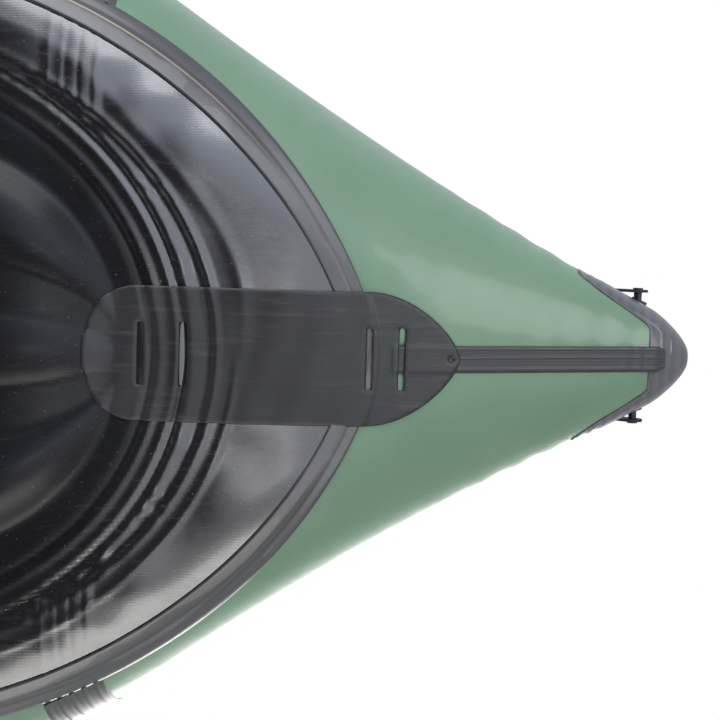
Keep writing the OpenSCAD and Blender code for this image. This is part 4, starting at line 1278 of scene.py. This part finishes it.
# Puts rows of three back as the mesh's vertices
def setPoints(piece, points):
    piece.data.vertices.foreach_set("co", np.asarray(points, np.float32).ravel())
    piece.data.update()


# Swaps the mesh for what its modifiers make of it
def applyModifiers(piece):
    ready = piece.evaluated_get(bpy.context.evaluated_depsgraph_get())
    mesh = bpy.data.meshes.new_from_object(ready)
    piece.modifiers.clear()
    old, piece.data = piece.data, mesh
    bpy.data.meshes.remove(old)


# Blows the pad up as cloth under pressure, and caps how far any point may move.
def inflate(piece):
    voxels = piece.modifiers.new("voxels", "REMESH")
    voxels.mode = "VOXEL"
    voxels.voxel_size = cushion["voxel"]
    applyModifiers(piece)
    before = meshPoints(piece)
    cloth = piece.modifiers.new("cloth", "CLOTH")
    cloth.settings.use_pressure = True
    cloth.settings.uniform_pressure_force = cushion["pressure"]
    cloth.settings.effector_weights.gravity = 0
    cloth.settings.quality = 5
    cloth.settings.shrink_min = -0.03
    cloth.point_cache.frame_start = 1
    cloth.point_cache.frame_end = cushion["frames"]
    scene = bpy.context.scene
    for number in range(cushion["frames"]):
        scene.frame_set(number + 1)
    applyModifiers(piece)
    scene.frame_set(1)
    move = meshPoints(piece) - before
    size = np.linalg.norm(move, axis=1, keepdims=True)
    setPoints(piece, before + move * np.minimum(1, cushion["cap"] / np.maximum(size, 1e-9)))


# One round of subdivision, applied
def smoothOnce(piece):
    extra = piece.modifiers.new("soften", "SUBSURF")
    extra.levels = extra.render_levels = 1
    applyModifiers(piece)
    piece.data.polygons.foreach_set("use_smooth", np.full(len(piece.data.polygons), True))


# One blown pad about its own middle, fitted to its space, with sewn channels pressed into both
# faces.
def padBase(name, half, height, lines, crossLines):
    piece = padShape(name, (half[0] * cushion["start"], half[1] * cushion["start"]),
                     height * cushion["start"])
    inflate(piece)
    smoothOnce(piece)
    points = meshPoints(piece)
    size = np.abs(points).max(0)
    points = points * (np.array([half[0], half[1], height]) * cushion["fit"] / size)
    face = np.sign(points[:, 2]) * ease(np.abs(points[:, 2]) / (height * 0.5))
    inside = ease((half[0] - np.abs(points[:, 0])) / 0.05) * ease((half[1] - np.abs(points[:, 1])) / 0.05)
    press = sum(hump(points[:, 1], at, cushion["channelWidth"]) for at in lines)
    press = press + sum(hump(points[:, 0], at, cushion["channelWidth"]) for at in crossLines)
    points[:, 2] -= face * inside * cushion["channelDepth"] * np.clip(press, 0, 1.2)
    setPoints(piece, points)
    return piece


# A cord round the pad's seam: a rounded rectangle carried round by a small circle.
def pipingLoop(name, half, radius):
    t = np.linspace(0, 2 * math.pi, 420, endpoint=False)[:, None]
    n = cushion["corner"]
    f = (np.abs(np.cos(t)) ** n + np.abs(np.sin(t)) ** n) ** (-1 / n)
    x, y = half[0] * np.cos(t) * f, half[1] * np.sin(t) * f
    k = np.linspace(0, 2 * math.pi, 12, endpoint=False)[None, :]
    away = np.stack([x / half[0] ** 2, y / half[1] ** 2], -1)
    away = away / np.linalg.norm(away, axis=-1, keepdims=True)
    points = np.stack(np.broadcast_arrays(x + radius * np.cos(k) * away[..., 0],
                                          y + radius * np.cos(k) * away[..., 1],
                                          radius * np.sin(k)), -1)
    return tube(name, points, ring=True)


# A second piece with a mesh of its own
def copyOf(piece, name):
    twin = piece.copy()
    twin.data = piece.data.copy()
    twin.name = name
    twin.data.name = name
    bpy.context.collection.objects.link(twin)
    return twin


# Moves the mesh's points, so that the object stays at the origin
def putAt(piece, matrix):
    piece.data.transform(matrix)
    piece.data.update()
    return piece


# The backrest's middle from its box, and its lean as given.
def backPlace(word):
    low, high = (np.array(c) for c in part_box("backrest_" + word))
    middle = (low + high) / 2
    lean = Matrix.Rotation(-math.radians(back["lean"]), 4, "Y")
    return Matrix.Translation(Vector(middle)) @ lean @ Matrix.Rotation(math.radians(-90), 4, "Y")


back = {"lean": 12.0, "height": 0.33, "thickness": 0.058}
seatLow, seatHigh = (np.array(c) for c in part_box("seat_cushion_front"))
seatHalf = (seatHigh - seatLow) / 2
rim = cushion["piping"]
seatLines = [seatHalf[1] * k for k in (-0.6, -0.3, 0.3, 0.6)]
seatPad = padBase("seat_pad_front", (seatHalf[0] - rim, seatHalf[1] - rim), seatHalf[2] - 0.001,
                  seatLines, [])
backHalf = (back["height"] / 2, seatHalf[1])
backPad = padBase("back_pad_front", (backHalf[0] - rim, backHalf[1] - rim), back["thickness"] / 2 - 0.001,
                  [],
                  [backHalf[0] * k for k in (-0.45, 0.0, 0.45)])
seatRope = pipingLoop("seat_piping_front", (seatHalf[0] - rim, seatHalf[1] - rim), rim)
backRope = pipingLoop("back_piping_front", (backHalf[0] - rim, backHalf[1] - rim), rim)
frontPads = [seatPad, seatRope, backPad, backRope]
rearPads = [copyOf(made, made.name.replace("front", "rear")) for made in frontPads]
for pads, word in ((frontPads, "front"), (rearPads, "rear")):
    low, high = (np.array(c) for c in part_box("seat_cushion_" + word))
    seatAt = Matrix.Translation(Vector((low + high) / 2))
    backAt = backPlace(word)
    for made, at in zip(pads, (seatAt, seatAt, backAt, backAt)):
        putAt(made, at)
    finishPiece(pads[0], "hull", paint["seat"], ["seat_cushion_" + word])
    finishPiece(pads[1], "hull", paint["piping"])
    finishPiece(pads[2], "backrest_" + word, paint["seat"], ["backrest_" + word])
    finishPiece(pads[3], "backrest_" + word, paint["piping"])
print("seats and backrests done")

# Footrest rolls
roll = {"endRound": 0.02, "tucks": 26, "tuckDepth": 0.0012}


# A stuffed roll turned about its length: rounded ends gathered in small tucks, two seams, a soft
# dip where it is tied.
def footRoll(name, node):
    low, high = (np.array(c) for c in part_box(node))
    middle, halfL, radius = (low + high) / 2, (high[1] - low[1]) / 2, (high[2] - low[2]) / 2
    t = np.linspace(-1, 1, 150)[:, None]
    k = np.linspace(0, 2 * math.pi, 120, endpoint=False)[None, :]
    fromEnd = (1 - np.abs(t)) * halfL
    rounded = np.sqrt(np.clip(1 - np.clip(1 - fromEnd / roll["endRound"], 0, 1) ** 2, 0, 1))
    r = radius - roll["endRound"] + roll["endRound"] * rounded
    r = r * (1 - 0.9 * (fromEnd < 1e-6)) - 0.0022 * hump(fromEnd, 0.034, 0.004)
    r = r - roll["tuckDepth"] * (0.5 + 0.5 * np.sin(k * roll["tucks"])) * ease((0.03 - fromEnd) / 0.02)
    r = r - 0.0012 * hump(np.angle(np.exp(1j * (k - 0.9))), 0,
                          0.03) - 0.0005 * (1 + np.sin(t * 19 + 3 * np.sin(k * 2)))
    points = np.stack(np.broadcast_arrays(middle[0] + r * np.cos(k), middle[1] + t * halfL,
                                          middle[2] + r * np.sin(k)), -1)
    return tube(name, points)


for word in ("front", "rear"):
    made = finishPiece(footRoll("footrest_roll_" + word, "footrest_" + word), "hull", paint["roll"],
                       ["footrest_" + word])

# Seat straps with their buckles
strap = {"width": 0.024, "thickness": 0.0018, "sag": 0.006, "buckleAt": 0.42,
         "buckle": (0.034, 0.026, 0.004)}


# From the bow of a D-ring to the backrest's side, four fifths up it, at the middle of its
# thickness.
def strapEnds(word, ringName, side):
    low, high = (np.array(c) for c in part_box(ringName))
    ringEnd = np.array([low[0] + 0.001, (low[1] + high[1]) / 2, high[2] - 0.0015])
    place = backPlace(word)
    top = place @ Vector((0.3 * back["height"], side * (seatHalf[1] + 0.001), 0.0))
    return ringEnd, np.array(top)


# Flat webbing along a shallow hanging curve, its width square to the line and nearly upright.
def ribbon(name, first, last, width, thickness, sag):
    t = np.linspace(0, 1, 90)[:, None]
    line = first + (last - first) * t
    line = line - np.array([0, 0, 1.0]) * (4 * sag * t * (1 - t))
    along = (last - first) / np.linalg.norm(last - first)
    upright = np.array([0, 0, 1.0]) - along * along[2]
    upright = upright / np.linalg.norm(upright)
    flat = np.cross(along, upright)
    w = np.linspace(-1, 1, 13)
    section = np.concatenate([np.stack([w, np.full(13, 1.0)], -1),
                              np.stack([w[::-1], np.full(13, -1.0)], -1)])
    edge = 1 - 0.5 * np.abs(section[:, 0]) ** 8
    points = (line[:, None, :] + section[None, :, 0:1] * width / 2 * upright
              + (section[None, :, 1:2] * edge[None, :, None]) * thickness / 2 * flat)
    length = np.linalg.norm(last - first)
    uv = np.stack(np.broadcast_arrays(t * length, section[None, :, 0] * width / 2), -1).reshape(-1, 2)
    return tube(name, points, uv)


# A flat two-bar slider: a rounded frame and a middle bar, each a loop or rod of round section.
def buckle(name, first, last):
    length, width, wire = strap["buckle"]
    along = (last - first) / np.linalg.norm(last - first)
    upright = np.array([0, 0, 1.0]) - along * along[2]
    upright = upright / np.linalg.norm(upright)
    flat = np.cross(along, upright)
    share = strap["buckleAt"]
    sag = 3.9 * strap["sag"] * share * (1 - share)
    at = first + (last - first) * share - np.array([0, 0, sag])
    t = np.linspace(0, 2 * math.pi, 64, endpoint=False)[:, None]
    k = np.linspace(0, 2 * math.pi, 12, endpoint=False)[None, :]
    f = (np.abs(np.cos(t)) ** 6 + np.abs(np.sin(t)) ** 6) ** (-1 / 6)
    halfA, halfB = width / 2, length / 2
    ringU = (halfA + wire / 2 * np.cos(k)) * np.cos(t) * f
    ringV = (halfB + wire / 2 * np.cos(k)) * np.sin(t) * f
    ringN = wire / 2 * np.sin(k) + 0 * t
    points = at + ringU[..., None] * along + ringV[..., None] * upright + ringN[..., None] * flat
    frameMesh = tube(name, points, ring=True)
    rod = np.linspace(-1, 1, 16)[:, None]
    bar = (at + (wire * 0.45 * np.cos(k) + 0 * rod)[..., None] * along
           + (halfB * rod + 0 * k)[..., None] * upright
           + (wire * 0.45 * np.sin(k) + 0 * rod)[..., None] * flat)
    return frameMesh, tube(name + "_bar", bar)


for word, ring in (("front", "d_ring_1_"), ("rear", "d_ring_2_")):
    for side, sideWord in ((port, "port"), (starboard, "starboard")):
        first, last = strapEnds(word, ring + sideWord, side)
        made = ribbon(f"seat_strap_{word}_{sideWord}", first, last, strap["width"], strap["thickness"],
                      strap["sag"])
        made.data.materials.append(paint["webbing"])
        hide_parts("seat_straps_" + word)
        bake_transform(made)
        for part in buckle(f"strap_buckle_{word}_{sideWord}", first, last):
            part.data.materials.append(paint["valve"])
            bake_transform(part)
print("footrests and straps done")

# Valve springs at their full length, from the seat up to under the plunger's button
spring = {"turns": 4, "coil": 0.0034, "wire": 0.0004, "button": 0.002, "gap": 0.0003, "travel": 0.004}


# A helix of round wire from the seat up to the button
def valveSpring(name, word):
    springLow, springHigh = (np.array(c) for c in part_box("valve_spring_" + word))
    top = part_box("valve_plunger_" + word)[1][2] - spring["button"] - spring["gap"] - spring["wire"]
    bottom = springLow[2] + spring["wire"]
    middle = (springLow + springHigh) / 2
    a = np.linspace(0, 2 * math.pi * spring["turns"], spring["turns"] * 28)[:, None]
    b = np.linspace(0, 2 * math.pi, 8, endpoint=False)[None, :]
    r = spring["coil"] + spring["wire"] * np.cos(b)
    z = bottom + (top - bottom) * a / a.max() + spring["wire"] * np.sin(b)
    points = np.stack(np.broadcast_arrays(middle[0] + r * np.cos(a), middle[1] + r * np.sin(a), z), -1)
    made = tube(name, points)
    finishPiece(made, "hull", paint["steel"], ["valve_spring_" + word])
    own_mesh(made)


for word in ("port", "starboard", "floor"):
    valveSpring("valve_spring_coil_" + word, word)

# CAD nodes that stay get their finish
plainWebbing = ribbedMaterial("handleWebbing", srgb(32, 33, 37), srgb(18, 19, 22), 0.62, 0.0022, 0.0003,
                              "X")
kept = {
    "handle_anchors": paint["block"],
    "stern_handle_strap": plainWebbing,
    "bow_handle_strap": plainWebbing,
    "d_ring_patches": paint["ringPatch"],
    "valve_hinge_pins": paint["steel"],
}
for name, node in nodes.items():
    finish = kept.get(name)
    if name.startswith("d_ring_") and name != "d_ring_patches":
        finish = paint["steel"]
    if name.startswith("valve_body") or name.startswith("valve_cap"):
        finish = paint["valve"]
    if name.startswith("valve_plunger"):
        finish = paint["plunger"]
    if finish is not None:
        node.data.materials.clear()
        node.data.materials.append(finish)
print("kept nodes painted")
